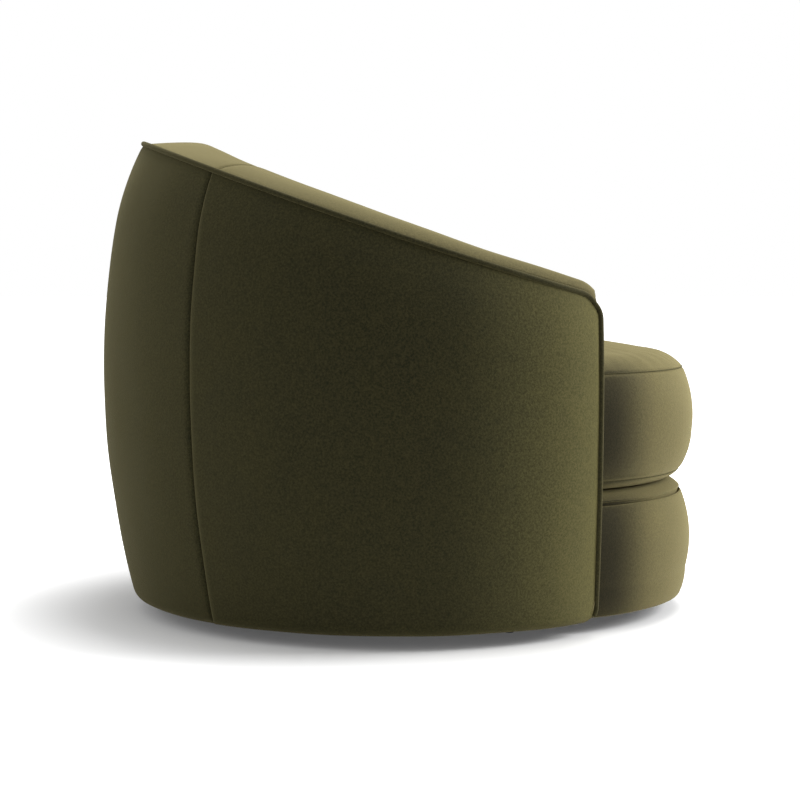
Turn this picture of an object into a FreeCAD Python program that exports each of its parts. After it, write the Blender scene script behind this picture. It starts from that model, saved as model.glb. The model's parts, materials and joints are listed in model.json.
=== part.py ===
"""A round-backed swivel armchair, in millimetres.

The chair faces -Y, +Z is up and the origin lies on the floor under the swivel axis.
Its barrel wall runs round the back on one circle and the seat is a second circle further forward,
so the wall is thick at the back and thin at the two arm fronts.
"""
import FreeCAD, Part
import math
import os
import Sketcher
from FreeCAD import Vector

# The driving sizes. Lengths are in millimetres and angles in degrees, measured from the front.
SIZES = [
    # the barrel's outer wall
    ("shell_radius", 466, "widest radius of the barrel"),
    ("belly_height", 378, "height of the widest place"),
    ("floor_gap", 18, "clear height under the upholstery"),
    ("shell_draw", 47, "how far the wall draws in from the belly to its lower edge"),
    ("shell_top_draw", 52, "how far it draws in from the belly to the top of the back"),
    ("roll_in", 14, "how far the wall rolls in below the piping"),
    ("roll_height", 120, "height over which it rolls in"),
    ("skin_thickness", 14, "padded outer cover"),
    ("back_top_height", 732, "piping at the middle of the back"),
    ("side_top_height", 583, "piping beside the swivel axis"),
    ("arm_top_height", 495, "piping where it would meet the arm front"),
    ("arm_front", 290, "reach of the arm fronts before the swivel axis"),
    ("arm_corner_radius", 45, "upper corner of the arm front"),
    ("arm_foot_radius", 24, "lower corner of the arm front"),
    ("seam_angle", 129.5, "upright seams between the side covers and the back cover"),
    ("piping_size", 8, "diameter of the piping"),
    ("soft_gap", 0.5, "clearance beside soft pieces"),
    # the inner padding
    ("seat_centre", 128, "the seat's circle lies this far before the swivel axis"),
    ("cavity_radius", 344, "inner wall round the cushion"),
    ("back_recline", 48, "how far the inner back leans out at its top"),
    ("crown_back_height", 736, "crown at the middle of the back"),
    ("crown_back_reach", 335, "how far behind the swivel axis that height lies"),
    ("crown_side_height", 606, "crown beside the swivel axis"),
    ("crown_front_height", 512, "crown where it would meet the arm front"),
    ("crown_front", 15, "rise of the crown over the piping at the arm front's corner"),
    ("crown_corner_radius", 40, "rounding of the crown at the arm front"),
    ("arm_start_angle", 45, "where the arm padding begins"),
    ("station_step", 7.5, "turn between the sections of the wall"),
    ("facing_depth", 4, "padding that laps over the front edge of the side cover"),
    ("facing_waist", 341.5, "inner radius of the arm front at the band's widest height"),
    ("facing_foot", 334.5, "inner radius of the arm front at its lower edge"),
    ("facing_back_angle", 61.5, "where the arm front's deep padding ends"),
    # the plywood frame
    ("ply", 18, "plywood sheet"),
    ("slot_gap", 0.3, "clearance in the slots of the frame"),
    ("pad_centre", 112, "centre of the frame's inner circle before the swivel axis"),
    ("frame_radius", 366, "the frame's inner circle"),
    ("liner_thickness", 2.5, "fibreboard between the frame and the outer cover"),
    ("frame_ease", 2.4, "ease between the fibreboard and the frame"),
    ("pad_ease", 1.6, "ease between the webbing and the padding"),
    ("cap_thickness", 6, "bent plywood along the top of the frame"),
    ("front_rib_angle", 64, "upright behind the arm front"),
    ("arm_rib_angle", 93, "upright in the middle of the arm"),
    ("corner_rib_angle", 124, "upright at the back corner"),
    ("back_rib_angle", 152, "upright in the back"),
    ("rib_foot_radius", 296, "how far in the uprights reach under the seat ring"),
    ("middle_former_height", 366, "underside of the middle former"),
    ("upper_former_height", 548, "underside of the upper former"),
    ("strap_thickness", 2, "elastic webbing"),
    ("strap_width", 50, "elastic webbing"),
    ("low_strap_height", 222, "lower edge of the lowest strap"),
    ("mid_strap_height", 300, "lower edge of the second strap"),
    ("high_strap_height", 420, "lower edge of the third strap"),
    ("top_strap_height", 600, "lower edge of the top strap"),
    # the seat
    ("ring_height", 160, "underside of the seat ring"),
    ("ring_hole_radius", 272, "opening in the seat ring"),
    ("band_radius", 338, "widest radius of the upholstered seat base"),
    ("band_belly_height", 118, "height of that widest place"),
    ("band_seam_radius", 322, "upper seam of the seat base"),
    ("band_seam_height", 190, "upper seam of the seat base"),
    ("band_roll", 30, "rolled lower edge of the seat base"),
    ("band_thickness", 17, "padding of the seat base at its lower edge"),
    ("band_end_angle", 68, "half of the arc that the seat base's cover spans"),
    ("band_clearance", 0.3, "arc left free beyond each end of the seat base's cover"),
    ("deck_shoulder_radius", 284, "where the deck turns down to its seam"),
    ("deck_top_height", 207, "top of the deck"),
    ("deck_padding", 20, "padding over the springs"),
    ("deck_rim", 18, "width of the deck's rim on the seat ring"),
    ("strut_angle", 34, "turn between the front struts"),
    ("strut_depth", 70, "depth of a front strut"),
    # the seat cushion
    ("cushion_radius", 342.5, "widest radius of the cushion"),
    ("cushion_foot_radius", 296, "flat underside of the cushion"),
    ("cushion_gap", 0.3, "rest gap between cushion and deck"),
    ("cushion_low_seam_radius", 325, "lower seam of the cushion"),
    ("cushion_low_seam_height", 222, "lower seam of the cushion"),
    ("cushion_belly_height", 298, "height of its widest place"),
    ("cushion_top_seam_radius", 322, "upper seam of the cushion"),
    ("cushion_top_seam_height", 381, "upper seam of the cushion"),
    ("cushion_shoulder_radius", 262, "where the crown turns down"),
    ("cushion_shoulder_height", 420, "where the crown turns down"),
    ("cushion_crown_height", 434, "middle of the crown"),
    # the webbing under the deck
    ("web_width", 50, "webbing band"),
    ("web_thickness", 2, "webbing band"),
    ("web_pitch", 110, "distance between bands"),
    ("web_tack", 12, "end of a band on the seat ring"),
    # the swivel base
    ("glide_size", 15, "diameter of a floor glide"),
    ("glide_height", 8, "height of a floor glide"),
    ("glide_stem", 8, "diameter and length of its stem"),
    ("glide_reach", 311, "from the swivel axis to a glide"),
    ("base_turn", 58, "turn of the base from straight ahead"),
    ("bar_width", 30, "base bar"),
    ("bar_height", 14, "base bar"),
    ("bar_wall", 2, "base bar"),
    ("bar_reach", 322, "from the swivel axis to the bar's end"),
    ("cap_depth", 3, "plastic end cap of a bar"),
    ("plate_side", 168, "swivel plate"),
    ("plate_corner", 16, "swivel plate"),
    ("plate_thickness", 3, "swivel plate"),
    ("plate_bolt_reach", 66, "from the middle to a bolt, along each side"),
    ("race_radius", 46, "middle of the bearing rings"),
    ("ring_play", 0.2, "running clearance of the bearing"),
    ("race_width", 20, "width of a race"),
    ("race_stack", 18, "height from plate to plate"),
    ("pin_size", 22, "pivot pin that holds the plates together"),
    ("pin_head", 32, "flange of the pivot pin"),
    ("pin_head_height", 2, "flange of the pivot pin"),
    ("pin_play", 0.4, "running clearance of the pivot pin"),
    ("bolt_size", 6, "bolt shank"),
    ("bolt_head", 11, "bolt head across its corners"),
    ("bolt_head_height", 4, "bolt head"),
    ("bolt_end", 2, "bolt past its nut"),
    ("bore_gap", 0.2, "clearance of a bolt in its hole"),
    ("board_side", 300, "board over the swivel"),
    ("board_corner", 30, "board over the swivel"),
    ("pocket_radius", 26, "pocket over the pivot pin"),
    ("board_hole_radius", 125, "opening in the bottom board"),
    ("dust_cover_thickness", 0.8, "black cloth under the chair"),
    ("overrun", 10, "how far a cutting tool passes the face it cuts"),
]
# Shares and counts, without a unit.
APEX_SHARE = 0.48
LEAN_POWER = 2
ROLL_OUT = 0.45
ROLL_DOWN = 0.89
DECK_IN = 0.25
DECK_DOWN = 0.3
FOOT_OUT = 0.66
FOOT_UP = 0.28
SHOULDER_SHARE = 0.62
LEVELS = 4
PIPE_SIDES = 8
WEB_PLACES = (-1.5, -0.5, 0.5, 1.5)
PIPE_STEPS = 60
ROLL_LEVELS = 2
ARC_STEPS = {
    "side": 5,
    "roll": 3,
    "edge": 3,
    "crown": 3,
    "shoulder": 4,
    "facing": 3,
    "band_side": 4,
    "band_roll": 3,
    "deck": 2,
    "foot": 2,
    "bulge": 4,
    "dome": 3,
}

doc = FreeCAD.newDocument("swivel_chair")
sheet = doc.addObject("Spreadsheet::Sheet", "Sizes")
for row, (alias, value, note) in enumerate(SIZES, start=1):
    sheet.set("A%d" % row, alias)
    sheet.set("B%d" % row, str(value))
    sheet.set("C%d" % row, note)
    sheet.setAlias("B%d" % row, alias)
doc.recompute()
ALIASES = {alias for alias, value, note in SIZES}
nodes = []


def cell(alias):
    """The number in a named cell."""
    return float(sheet.get(alias))


def cells(text):
    """The same sum with each alias written as a cell of the sheet."""
    return " ".join("Sizes." + word if word in ALIASES else word for word in text.split())


def amount(text):
    """Work out a sum of aliases and plain counts, such as 'bar_width / 2 + bar_wall'."""
    total = 0.0
    term = None
    sign = 1.0
    mode = "*"
    for word in text.split():
        if word in ("+", "-"):
            total += sign * (term if term is not None else 0.0)
            term = None
            sign = 1.0 if word == "+" else -1.0
            mode = "*"
        elif word in ("*", "/"):
            mode = word
        else:
            number = cell(word) if word in ALIASES else float(word)
            if term is None:
                term = number
            else:
                term = term * number if mode == "*" else term / number
    return total + sign * (term if term is not None else 0.0)


def bind(thing, **sizes):
    """Bind properties of a document object to sums of cells."""
    for name, text in sizes.items():
        thing.setExpression(name, cells(text))
    return thing


def put(thing, x="0", y="0", z="0", turn=0.0):
    """Bind a primitive's place to the sheet and turn it about +Z."""
    place = FreeCAD.Placement(Vector(), FreeCAD.Rotation(Vector(0, 0, 1), turn))
    thing.Placement = place
    thing.setExpression("Placement.Base.x", cells(x))
    thing.setExpression("Placement.Base.y", cells(y))
    thing.setExpression("Placement.Base.z", cells(z))
    return thing


def node(thing, label):
    """Name a finished sub-part; the label names its file."""
    thing.Label = label
    nodes.append(thing)
    return thing


def formed(label, shape):
    """A sub-part whose form comes from lofts or from cuts along the barrel."""
    thing = doc.addObject("Part::Feature", label)
    thing.Shape = shape
    thing.Placement = shape.Placement
    return node(thing, label)


def cylinder(name, radius, height, z, x="0", y="0"):
    return put(bind(doc.addObject("Part::Cylinder", name), Radius=radius, Height=height), x, y, z)


def box(name, length, width, height, x, y, z):
    return put(bind(doc.addObject("Part::Box", name), Length=length, Width=width, Height=height), x, y, z)


def cut(name, base, tool):
    thing = doc.addObject("Part::Cut", name)
    thing.Base = base
    thing.Tool = tool
    return thing


def fuse(name, shapes):
    thing = doc.addObject("Part::MultiFuse", name)
    thing.Shapes = shapes
    return thing


def group(label, shapes):
    """Identical small parts that share one node as separate solids."""
    thing = doc.addObject("Part::Compound", label)
    thing.Links = shapes
    return node(thing, label)


def plane_of(body, role):
    return next(item for item in body.Origin.OriginFeatures if item.Role == role)


def outline_sketch(body, name, role, corners):
    """A closed outline of straight sides; each corner is a pair of sums bound to the sheet."""
    sketch = body.newObject("Sketcher::SketchObject", name)
    sketch.AttachmentSupport = [(plane_of(body, role), "")]
    sketch.MapMode = "FlatFace"
    points = [Vector(amount(across), amount(up), 0) for across, up in corners]
    count = len(points)
    for index, point in enumerate(points):
        sketch.addGeometry(Part.LineSegment(point, points[(index + 1) % count]))
    for index in range(count):
        sketch.addConstraint(Sketcher.Constraint("Coincident", index, 2, (index + 1) % count, 1))
    for index, (across, up) in enumerate(corners):
        for word, text, value in (("X", across, points[index].x), ("Y", up, points[index].y)):
            held = sketch.addConstraint(Sketcher.Constraint("Distance" + word, -1, 1, index, 1, value))
            sketch.renameConstraint(held, "corner%d%s" % (index, word))
            sketch.setExpression("Constraints.corner%d%s" % (index, word), cells(text))
    return sketch


def turned(label, corners):
    """A part turned about the swivel axis from its half section."""
    body = doc.addObject("PartDesign::Body", label)
    sketch = outline_sketch(body, label + "_section", "XZ_Plane", corners)
    spin = body.newObject("PartDesign::Revolution", label + "_turned")
    spin.Profile = sketch
    spin.ReferenceAxis = (sketch, ["V_Axis"])
    spin.Angle = 360
    return body


# Where the sizes lead: the stack of the swivel, the heights of the boards and the radii of the frame
BOARD_TOP = "glide_height + bar_height + plate_thickness + race_stack + plate_thickness"
BOARD_BASE = BOARD_TOP + " - ply"
BAR_TOP = "glide_height + bar_height"
RING_TOP = "ring_height + ply"
board_top = amount(BOARD_TOP)
board_base = amount(BOARD_BASE)
ring_top = amount(RING_TOP)
ply = cell("ply")
gap = cell("soft_gap")
slot_gap = cell("slot_gap")
overrun = cell("overrun")
seat_centre = cell("seat_centre")
skin = cell("skin_thickness")
pipe_radius = cell("piping_size") / 2
pipe_seat = pipe_radius + gap
seam_angle = cell("seam_angle")
floor_gap = cell("floor_gap")
arm_front = cell("arm_front")
far = 3 * cell("shell_radius")
frame_ease = cell("frame_ease")
frame_inset = skin + cell("liner_thickness") + gap + frame_ease


# The barrel's form, as radii at a height and heights along the sloping top
def barrel(height):
    """Outer radius of the barrel: one long arc below the belly and one above it."""
    away = height - cell("belly_height")
    rise = cell("belly_height") - floor_gap
    draw = cell("shell_draw")
    if away > 0:
        rise = cell("back_top_height") - cell("belly_height")
        draw = cell("shell_top_draw")
    bow = (rise * rise + draw * draw) / (2 * draw)
    return cell("shell_radius") - bow + math.sqrt(bow * bow - away * away)


def shallow(forward, back, heights):
    """Height on a shallow curve through three heights: at the back, beside the axis and at the arm front."""
    high, mid, low = heights
    at_back = high * forward * (forward - arm_front) / (back * (back - arm_front))
    at_mid = mid * (forward - back) * (forward - arm_front) / (back * arm_front)
    at_front = low * (forward - back) * forward / ((arm_front - back) * arm_front)
    return at_back + at_mid + at_front


def top_line(forward):
    """Height of the piping at a distance before the swivel axis."""
    heights = (cell("back_top_height"), cell("side_top_height"), cell("arm_top_height"))
    return shallow(forward, cell("roll_in") - barrel(cell("back_top_height")), heights)


def crown_line(forward):
    """Height of the crown at a distance before the swivel axis."""
    heights = (cell("crown_back_height"), cell("crown_side_height"), cell("crown_front_height"))
    return shallow(forward, -cell("crown_back_reach"), heights)


def cosine(angle):
    return math.cos(math.radians(angle))


def sine(angle):
    return math.sin(math.radians(angle))


def piping_place(angle):
    """Radius and height of the piping at an angle from the front."""
    height = cell("side_top_height")
    for step in range(40):
        radius = barrel(height) - cell("roll_in")
        height = top_line(radius * cosine(angle))
    return barrel(height) - cell("roll_in"), height


def circle_reach(angle, radius, centre=None):
    """Distance from the swivel axis to a circle whose centre lies before it."""
    ahead = seat_centre if centre is None else centre
    across = ahead * sine(angle)
    return ahead * cosine(angle) + math.sqrt(radius * radius - across * across)


def lean(angle):
    """How far the inner wall leans out at its top."""
    return cell("back_recline") * ((1 - cosine(angle)) / 2) ** LEAN_POWER


def frame_reach(angle, height):
    """Inner edge of the frame, which leans out with the inner wall."""
    radius, top = piping_place(angle)
    share = max(0.0, (height - ring_top) / (top - ring_top))
    return circle_reach(angle, cell("frame_radius"), cell("pad_centre")) + lean(angle) * share


def at(angle, radius, height):
    """A point at an angle from the front, counted towards +X."""
    return Vector(radius * sine(angle), -radius * cosine(angle), height)


def arc(kind, start, middle, end):
    """Places along an arc through three, in straight steps, without its start."""
    curve = Part.Arc(*[Vector(place[0], place[1], 0) for place in (start, middle, end)]).toShape()
    count = ARC_STEPS[kind]
    spots = curve.discretize(count + 1)
    if abs(spots[0].x - start[0]) + abs(spots[0].y - start[1]) > abs(spots[0].x - end[0]) + abs(spots[0].y - end[1]):
        spots.reverse()
    return [(spot.x, spot.y) for spot in spots[1:]]


def upright(angle, places):
    """Places of radius and height as points of the upright plane at an angle."""
    return [at(angle, radius, height) for radius, height in places]


SHARED = [cell("station_step") * count for count in range(int(360 / cell("station_step")) + 1)]
SHARED = sorted(SHARED + [seam_angle, 360 - seam_angle])


def stations(first, last):
    """Angles from first to last over the steps that every layer of the wall shares, seams included."""
    return [first] + [angle for angle in SHARED if first + 0.5 < angle < last - 0.5] + [last]


def flat_faces(near, ahead):
    """Flat faces between two outlines with equal numbers of corners."""
    faces = []
    for index in range(len(near)):
        after = (index + 1) % len(near)
        for three in ((near[index], near[after], ahead[after]), (near[index], ahead[after], ahead[index])):
            if all((one - two).Length > 1e-6 for one, two in zip(three, three[1:] + three[:1])):
                faces.append(Part.Face(Part.makePolygon(list(three) + [three[0]])))
    return faces


def walled(outlines, closed=False):
    """A solid of flat faces through a row of outlines."""
    faces = []
    for near, ahead in zip(outlines, outlines[1:]):
        faces += flat_faces(near, ahead)
    if closed:
        faces += flat_faces(outlines[-1], outlines[0])
    else:
        for outline in (outlines[0], outlines[-1]):
            faces.append(Part.Face(Part.makePolygon(outline + outline[:1])))
    shell = Part.Shell(faces)
    shell.sewShape()
    solid = Part.Solid(shell)
    if solid.Volume < 0:
        solid.reverse()
    return solid


def outline_at(section, angle):
    """A section's outline; between two shared angles it lies on the straight lines that join theirs."""
    if min(abs(angle - shared) for shared in SHARED) < 0.01:
        return upright(angle, section(angle))
    before = max(shared for shared in SHARED if shared < angle)
    after = min(shared for shared in SHARED if shared > angle)
    across = at(angle + 90, 1, 0)
    pairs = zip(upright(before, section(before)), upright(after, section(after)))
    return [near + (ahead - near) * (near.dot(across) / (near - ahead).dot(across)) for near, ahead in pairs]


def lofted(section, first, last):
    """A solid drawn from section to section round the barrel."""
    return walled([outline_at(section, angle) for angle in stations(first, last)])


def rolled(height, top):
    """How much of the roll-in the wall has at a height below the piping."""
    share = max(0.0, 1 - (top - height) / cell("roll_height"))
    return cell("roll_in") * share * share


def hidden_face(angle, inset, low, high):
    """Places up a hidden face of the wall in straight steps at heights that all layers share."""
    top = piping_place(angle)[1]
    bend = top - cell("roll_height")
    heights = [low, board_top] if low < board_top else [low]
    heights += [board_top + (bend - board_top) * step / LEVELS for step in range(1, LEVELS + 1)]
    heights += [bend + cell("roll_height") * step / (ROLL_LEVELS + 1) for step in range(1, ROLL_LEVELS + 1)]
    heights.append(high)
    return [(barrel(height) - inset - rolled(height, top), height) for height in heights]


def cover_section(angle, low, drop, edge):
    """The outer cover: its outer face in two long arcs, with a rolled lower edge."""
    top = piping_place(angle)[1]
    high = top - drop
    bend = top - cell("roll_height")
    start = low + edge

    def face(height):
        return (barrel(height) - rolled(height, top), height)

    first = face(start)
    tuck = (first[0] - edge, low)
    part_way = edge * math.sqrt(0.5)
    places = arc("side", first, face((start + bend) / 2), face(bend))
    places += arc("roll", face(bend), face((bend + high) / 2), face(high))
    places += list(reversed(hidden_face(angle, skin, start, high)))
    places.append(tuck)
    places += arc("edge", tuck, (first[0] - edge + part_way, start - part_way), first)
    return places


def layer_section(angle, outer, inner, low, drop):
    """A hidden layer of the wall between two insets from the outer face."""
    high = piping_place(angle)[1] - drop
    return hidden_face(angle, outer, low, high) + list(reversed(hidden_face(angle, inner, low, high)))


def crown_places(angle):
    """The crown's outline from beside the piping over its apex to the inner wall."""
    edge, height = piping_place(angle)
    inner = circle_reach(angle, cell("cavity_radius")) + lean(angle)
    thick = edge - inner
    run = APEX_SHARE * thick
    apex = (edge - run, crown_line((edge - run) * cosine(angle)))
    rise = apex[1] - height
    bow = (run * run + rise * rise) / (2 * rise)

    def over(radius):
        return (radius, apex[1] - bow + math.sqrt(bow * bow - (radius - apex[0]) ** 2))

    start = over(edge - pipe_seat)
    turn = apex[0] - inner
    part_way = turn * math.sqrt(0.5)
    shoulder = (apex[0] - part_way, apex[1] - turn + part_way)
    places = [start] + arc("crown", start, over((start[0] + apex[0]) / 2), apex)
    return places + arc("shoulder", apex, shoulder, (inner, apex[1] - turn))


def pad_section(angle):
    """The inner padding over the frame, from the crown down to the seat ring."""
    edge, height = piping_place(angle)
    low = ring_top + gap
    under = height - pipe_radius
    back = cell("strap_thickness") + gap + cell("pad_ease")
    return crown_places(angle) + [
        (circle_reach(angle, cell("cavity_radius")), low),
        (frame_reach(angle, low) - back, low),
        (frame_reach(angle, under) - back, under),
        (edge - pipe_seat, under),
    ]


def facing_section(angle):
    """The deep padding of the arm front, which fills the wall down to its lower edge."""
    height = piping_place(angle)[1]
    low = board_base + gap
    knee = (circle_reach(angle, cell("cavity_radius")), ring_top + gap)
    waist = (circle_reach(angle, cell("facing_waist")), cell("band_belly_height"))
    foot = (circle_reach(angle, cell("facing_foot")), low)
    places = crown_places(angle) + [knee] + arc("facing", knee, waist, foot)
    return places + hidden_face(angle, pipe_seat, low, height - pipe_radius)


# Cutting forms seen from the side
def top_touch(reach, radius):
    """Where a corner arc meets the sloping top, as a distance before the axis, and the top's slope there."""
    touch = reach - radius
    for step in range(20):
        slope = math.atan(-(top_line(touch + 1) - top_line(touch - 1)) / 2)
        touch = reach - radius + radius * math.sin(slope)
    return touch, slope


def side_form(reach, radius, lift, foot, low):
    """A prism across the chair behind an arm front's outline, with a rounded upper and lower corner."""
    touch, slope = top_touch(reach, radius)
    centre = (reach - radius, top_line(touch) + lift - radius * math.cos(slope))

    def spot(forward, height):
        return Vector(-far, -forward, height)

    upper = (centre[0] + radius * math.sin(slope), centre[1] + radius * math.cos(slope))
    bend = (math.pi / 2 + slope) / 2
    middle = (centre[0] + radius * math.sin(bend), centre[1] + radius * math.cos(bend))
    part_way = foot * math.sqrt(0.5)
    edges = [
        Part.LineSegment(spot(-far, low), spot(reach - foot, low)).toShape(),
        Part.Arc(
            spot(reach - foot, low),
            spot(reach - foot + part_way, low + foot - part_way),
            spot(reach, low + foot),
        ).toShape(),
        Part.LineSegment(spot(reach, low + foot), spot(reach, centre[1])).toShape(),
        Part.Arc(spot(reach, centre[1]), spot(*middle), spot(*upper)).toShape(),
        Part.LineSegment(spot(*upper), spot(upper[0], far)).toShape(),
        Part.LineSegment(spot(upper[0], far), spot(-far, far)).toShape(),
        Part.LineSegment(spot(-far, far), spot(-far, low)).toShape(),
    ]
    return Part.Face(Part.Wire(edges)).extrude(Vector(2 * far, 0, 0))


def slab(low, high, front=None, back=None):
    """A block between two heights, and between two distances before the axis if they are given."""
    ahead = far if front is None else front
    behind = far if back is None else -back
    return Part.makeBox(2 * far, ahead + behind, high - low, Vector(-far, -ahead, low))


def disc(radius, low, high, ahead=0.0):
    """A many-sided disc whose corners lie at the stations of the wall."""
    step = cell("station_step")
    corners = [at(step * count, radius, low) + Vector(0, -ahead, 0) for count in range(int(360 / step))]
    return Part.Face(Part.makePolygon(corners + corners[:1])).extrude(Vector(0, 0, high - low))


def sector(first, last, low, high):
    """A wedge round the swivel axis between two angles from the front."""
    wedge = Part.makeCylinder(far, high - low, Vector(0, 0, low), Vector(0, 0, 1), last - first)
    wedge.rotate(Vector(), Vector(0, 0, 1), first - 90)
    return wedge


def radial_board(angle, inner, outer, low, high, width):
    """An upright block along an angle, centred on it."""
    block = Part.makeBox(width, outer - inner, high - low, Vector(-width / 2, -outer, low))
    block.rotate(Vector(), Vector(0, 0, 1), angle)
    return block


def mirrored(shape):
    return shape.mirror(Vector(), Vector(1, 0, 0))


def seat_turned(places, half_arc=180, beyond=0.0):
    """A form turned about the seat's axis from a closed half section, with a little more arc beyond its ends."""
    step = cell("station_step")
    count = int(2 * half_arc / step)
    ring_of = half_arc == 180
    turns = [-half_arc + 2 * half_arc * index / count for index in range(count if ring_of else count + 1)]
    if beyond:
        turns = [-half_arc - beyond] + turns + [half_arc + beyond]
    outlines = []
    for turn in turns:
        outlines.append([point + Vector(0, -seat_centre, 0) for point in upright(turn, places)])
    return walled(outlines, ring_of)


# The piping along the top and down both arm fronts
def wall_point(forward, height, side):
    """A point of the outer face at a distance before the axis and a height."""
    radius = barrel(height) - rolled(height, top_line(forward))
    return Vector(side * math.sqrt(radius * radius - forward * forward), -forward, height)


def piping_half(side):
    """Points of the piping from near the middle of the back to the lower end of one arm front."""
    corner = cell("arm_corner_radius")
    foot = cell("arm_foot_radius")
    touch, slope = top_touch(arm_front, corner)
    centre_height = top_line(touch) - corner * math.cos(slope)
    angle_end = 180
    while angle_end > cell("arm_start_angle"):
        radius, height = piping_place(angle_end)
        if radius * cosine(angle_end) > touch - corner / 2:
            break
        angle_end -= 0.5
    points = [at(side * turn, *piping_place(turn)) for turn in reversed(stations(angle_end, 180)[:-1])]
    for share in (0.0, 0.25, 0.5, 0.75, 1.0):
        bend = slope + (math.pi / 2 - slope) * share
        points.append(
            wall_point(arm_front - corner + corner * math.sin(bend), centre_height + corner * math.cos(bend), side)
        )
    low = floor_gap + foot
    for share in (0.2, 0.4, 0.6, 0.8, 1.0):
        points.append(wall_point(arm_front, centre_height + (low - centre_height) * share, side))
    points.append(wall_point(arm_front - foot * 0.3, low - foot * 0.7, side))
    return points


right_half = piping_half(-1)
left_half = piping_half(1)
middle_point = at(180, *piping_place(180))
route_points = list(reversed(right_half)) + [middle_point] + left_half


route = Part.BSplineCurve()
route.interpolate(route_points)


def ring(here, ahead, radius):
    """A many-sided ring square to the route, whose first corner looks out from the swivel axis."""
    outward = Vector(here.x, here.y, 0)
    outward = (outward - ahead * outward.dot(ahead)).normalize()
    upward = ahead.cross(outward)
    corners = []
    for count in range(PIPE_SIDES):
        turn = 360.0 * count / PIPE_SIDES
        corners.append(here + outward * (radius * cosine(turn)) + upward * (radius * sine(turn)))
    return corners


spots = [route.parameterAtDistance(share * route.length() / PIPE_STEPS) for share in range(PIPE_STEPS + 1)]
course = [(route.value(spot), Vector(route.tangent(spot)[0])) for spot in spots]
formed("piping", walled([ring(here, ahead, pipe_radius) for here, ahead in course]))
before, after = course[0], course[-1]
course = [(before[0] - before[1] * slot_gap, before[1])] + course[1:-1]
course.append((after[0] + after[1] * slot_gap, after[1]))
piping_room = walled([ring(here, ahead, pipe_radius + slot_gap) for here, ahead in course])

# The outer covers
def cover(angle):
    return cover_section(angle, floor_gap, pipe_seat, skin)


formed("outer_back_panel", lofted(cover, seam_angle, 360 - seam_angle))
first_angle = cell("arm_start_angle")
side_cover = lofted(cover, first_angle, seam_angle).common(
    side_form(
        arm_front - pipe_seat,
        cell("arm_corner_radius") - pipe_seat,
        -pipe_seat,
        cell("arm_foot_radius"),
        floor_gap,
    )
)
formed("outer_side_panel_left", side_cover.cut(piping_room))
formed("outer_side_panel_right", mirrored(side_cover).cut(piping_room))

# Rooms in the padding and the frame for the thin pieces that lie against them
facing_back = cell("facing_back_angle")
rail_start = facing_back + 1
cap_low = pipe_seat + cell("cap_thickness")
STRAPS = (
    ("back_strap_low", "low_strap_height", "front_rib_angle"),
    ("back_strap_middle", "mid_strap_height", "front_rib_angle"),
    ("back_strap_high", "high_strap_height", "front_rib_angle"),
    ("back_strap_top", "top_strap_height", "corner_rib_angle"),
)


def cap_section(angle, room=0.0):
    """The bent strip that caps the uprights under the crown, or the room for it."""
    edge, height = piping_place(angle)
    inner = frame_reach(angle, height) - room
    outer = edge - skin - gap + room
    high = height - pipe_seat + room
    low = height - cap_low - room
    return [(inner, low), (outer, low), (outer, high), (inner, high)]


def strap_section(angle, low, room=0.0):
    """Elastic webbing along the inner edges of the uprights, or the room for it."""
    high = low + cell("strap_width")
    lower = frame_reach(angle, low) - gap
    upper = frame_reach(angle, high) - gap
    thick = cell("strap_thickness")
    return [
        (lower - thick - room, low - room),
        (lower + room, low - room),
        (upper + room, high + room),
        (upper - thick - room, high + room),
    ]


def cap_room(angle):
    return cap_section(angle, slot_gap)


def strap_room(low):
    def section(angle):
        return strap_section(angle, low, slot_gap)

    return section


rooms = [lofted(cap_room, rail_start, 360 - rail_start)]
rooms += [lofted(strap_room(cell(low)), cell(first), 360 - cell(first)) for name, low, first in STRAPS]


def cleared(shape):
    """A shape with the rooms for the cap and the webbing cut out of it."""
    for room in rooms:
        shape = shape.cut(room)
    return shape


# The inner padding with its crowned top
arm_pad = lofted(pad_section, facing_back, seam_angle)
facing = lofted(facing_section, first_angle, facing_back)
crown_form = side_form(
    arm_front,
    cell("crown_corner_radius"),
    cell("crown_front"),
    cell("arm_foot_radius"),
    board_base + gap,
)
facing_step = arm_front - cell("facing_depth")
cover_form = side_form(
    facing_step,
    cell("arm_corner_radius") - pipe_radius,
    -pipe_radius,
    cell("arm_foot_radius"),
    floor_gap,
)


def cover_room(angle):
    return layer_section(angle, -overrun, skin + gap, floor_gap - overrun, pipe_radius)


facing = facing.common(crown_form)
facing = facing.cut(lofted(cover_room, first_angle, facing_back).common(cover_form))
facing = facing.cut(slab(0, board_top + gap, facing_step))
arm_pad = cleared(arm_pad.fuse(facing)).removeSplitter()
formed("inner_arm_pad_left", arm_pad.cut(piping_room))
formed("inner_arm_pad_right", mirrored(arm_pad).cut(piping_room))
formed("inner_back_pad", cleared(lofted(pad_section, seam_angle, 360 - seam_angle)))


# The plywood frame: uprights that stand on the bottom board, with formers lapped into them
RIBS = [
    ("arm_front_rib", cell("front_rib_angle")),
    ("arm_middle_rib", cell("arm_rib_angle")),
    ("corner_rib", cell("corner_rib_angle")),
    ("back_rib", cell("back_rib_angle")),
]


def rib_wire(angle):
    """An upright's outline: the wall's curve outside, the inner wall's line inside, a foot under the seat ring."""
    half = math.degrees(math.asin(ply / 2 / frame_reach(angle, ring_top)))
    high = min(piping_place(angle - half)[1], piping_place(angle + half)[1]) - cap_low - gap
    foot = circle_reach(angle, cell("rib_foot_radius"))
    ring_low = cell("ring_height")

    def edge(height):
        return max(frame_reach(angle - half, height), frame_reach(angle + half, height))

    places = hidden_face(angle, frame_inset, board_top, high)
    places += [(edge(high), high), (edge(ring_low), ring_low)]
    places += [(foot, ring_low), (foot, board_top)]
    return Part.makePolygon(upright(angle, places + places[:1]))


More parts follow.
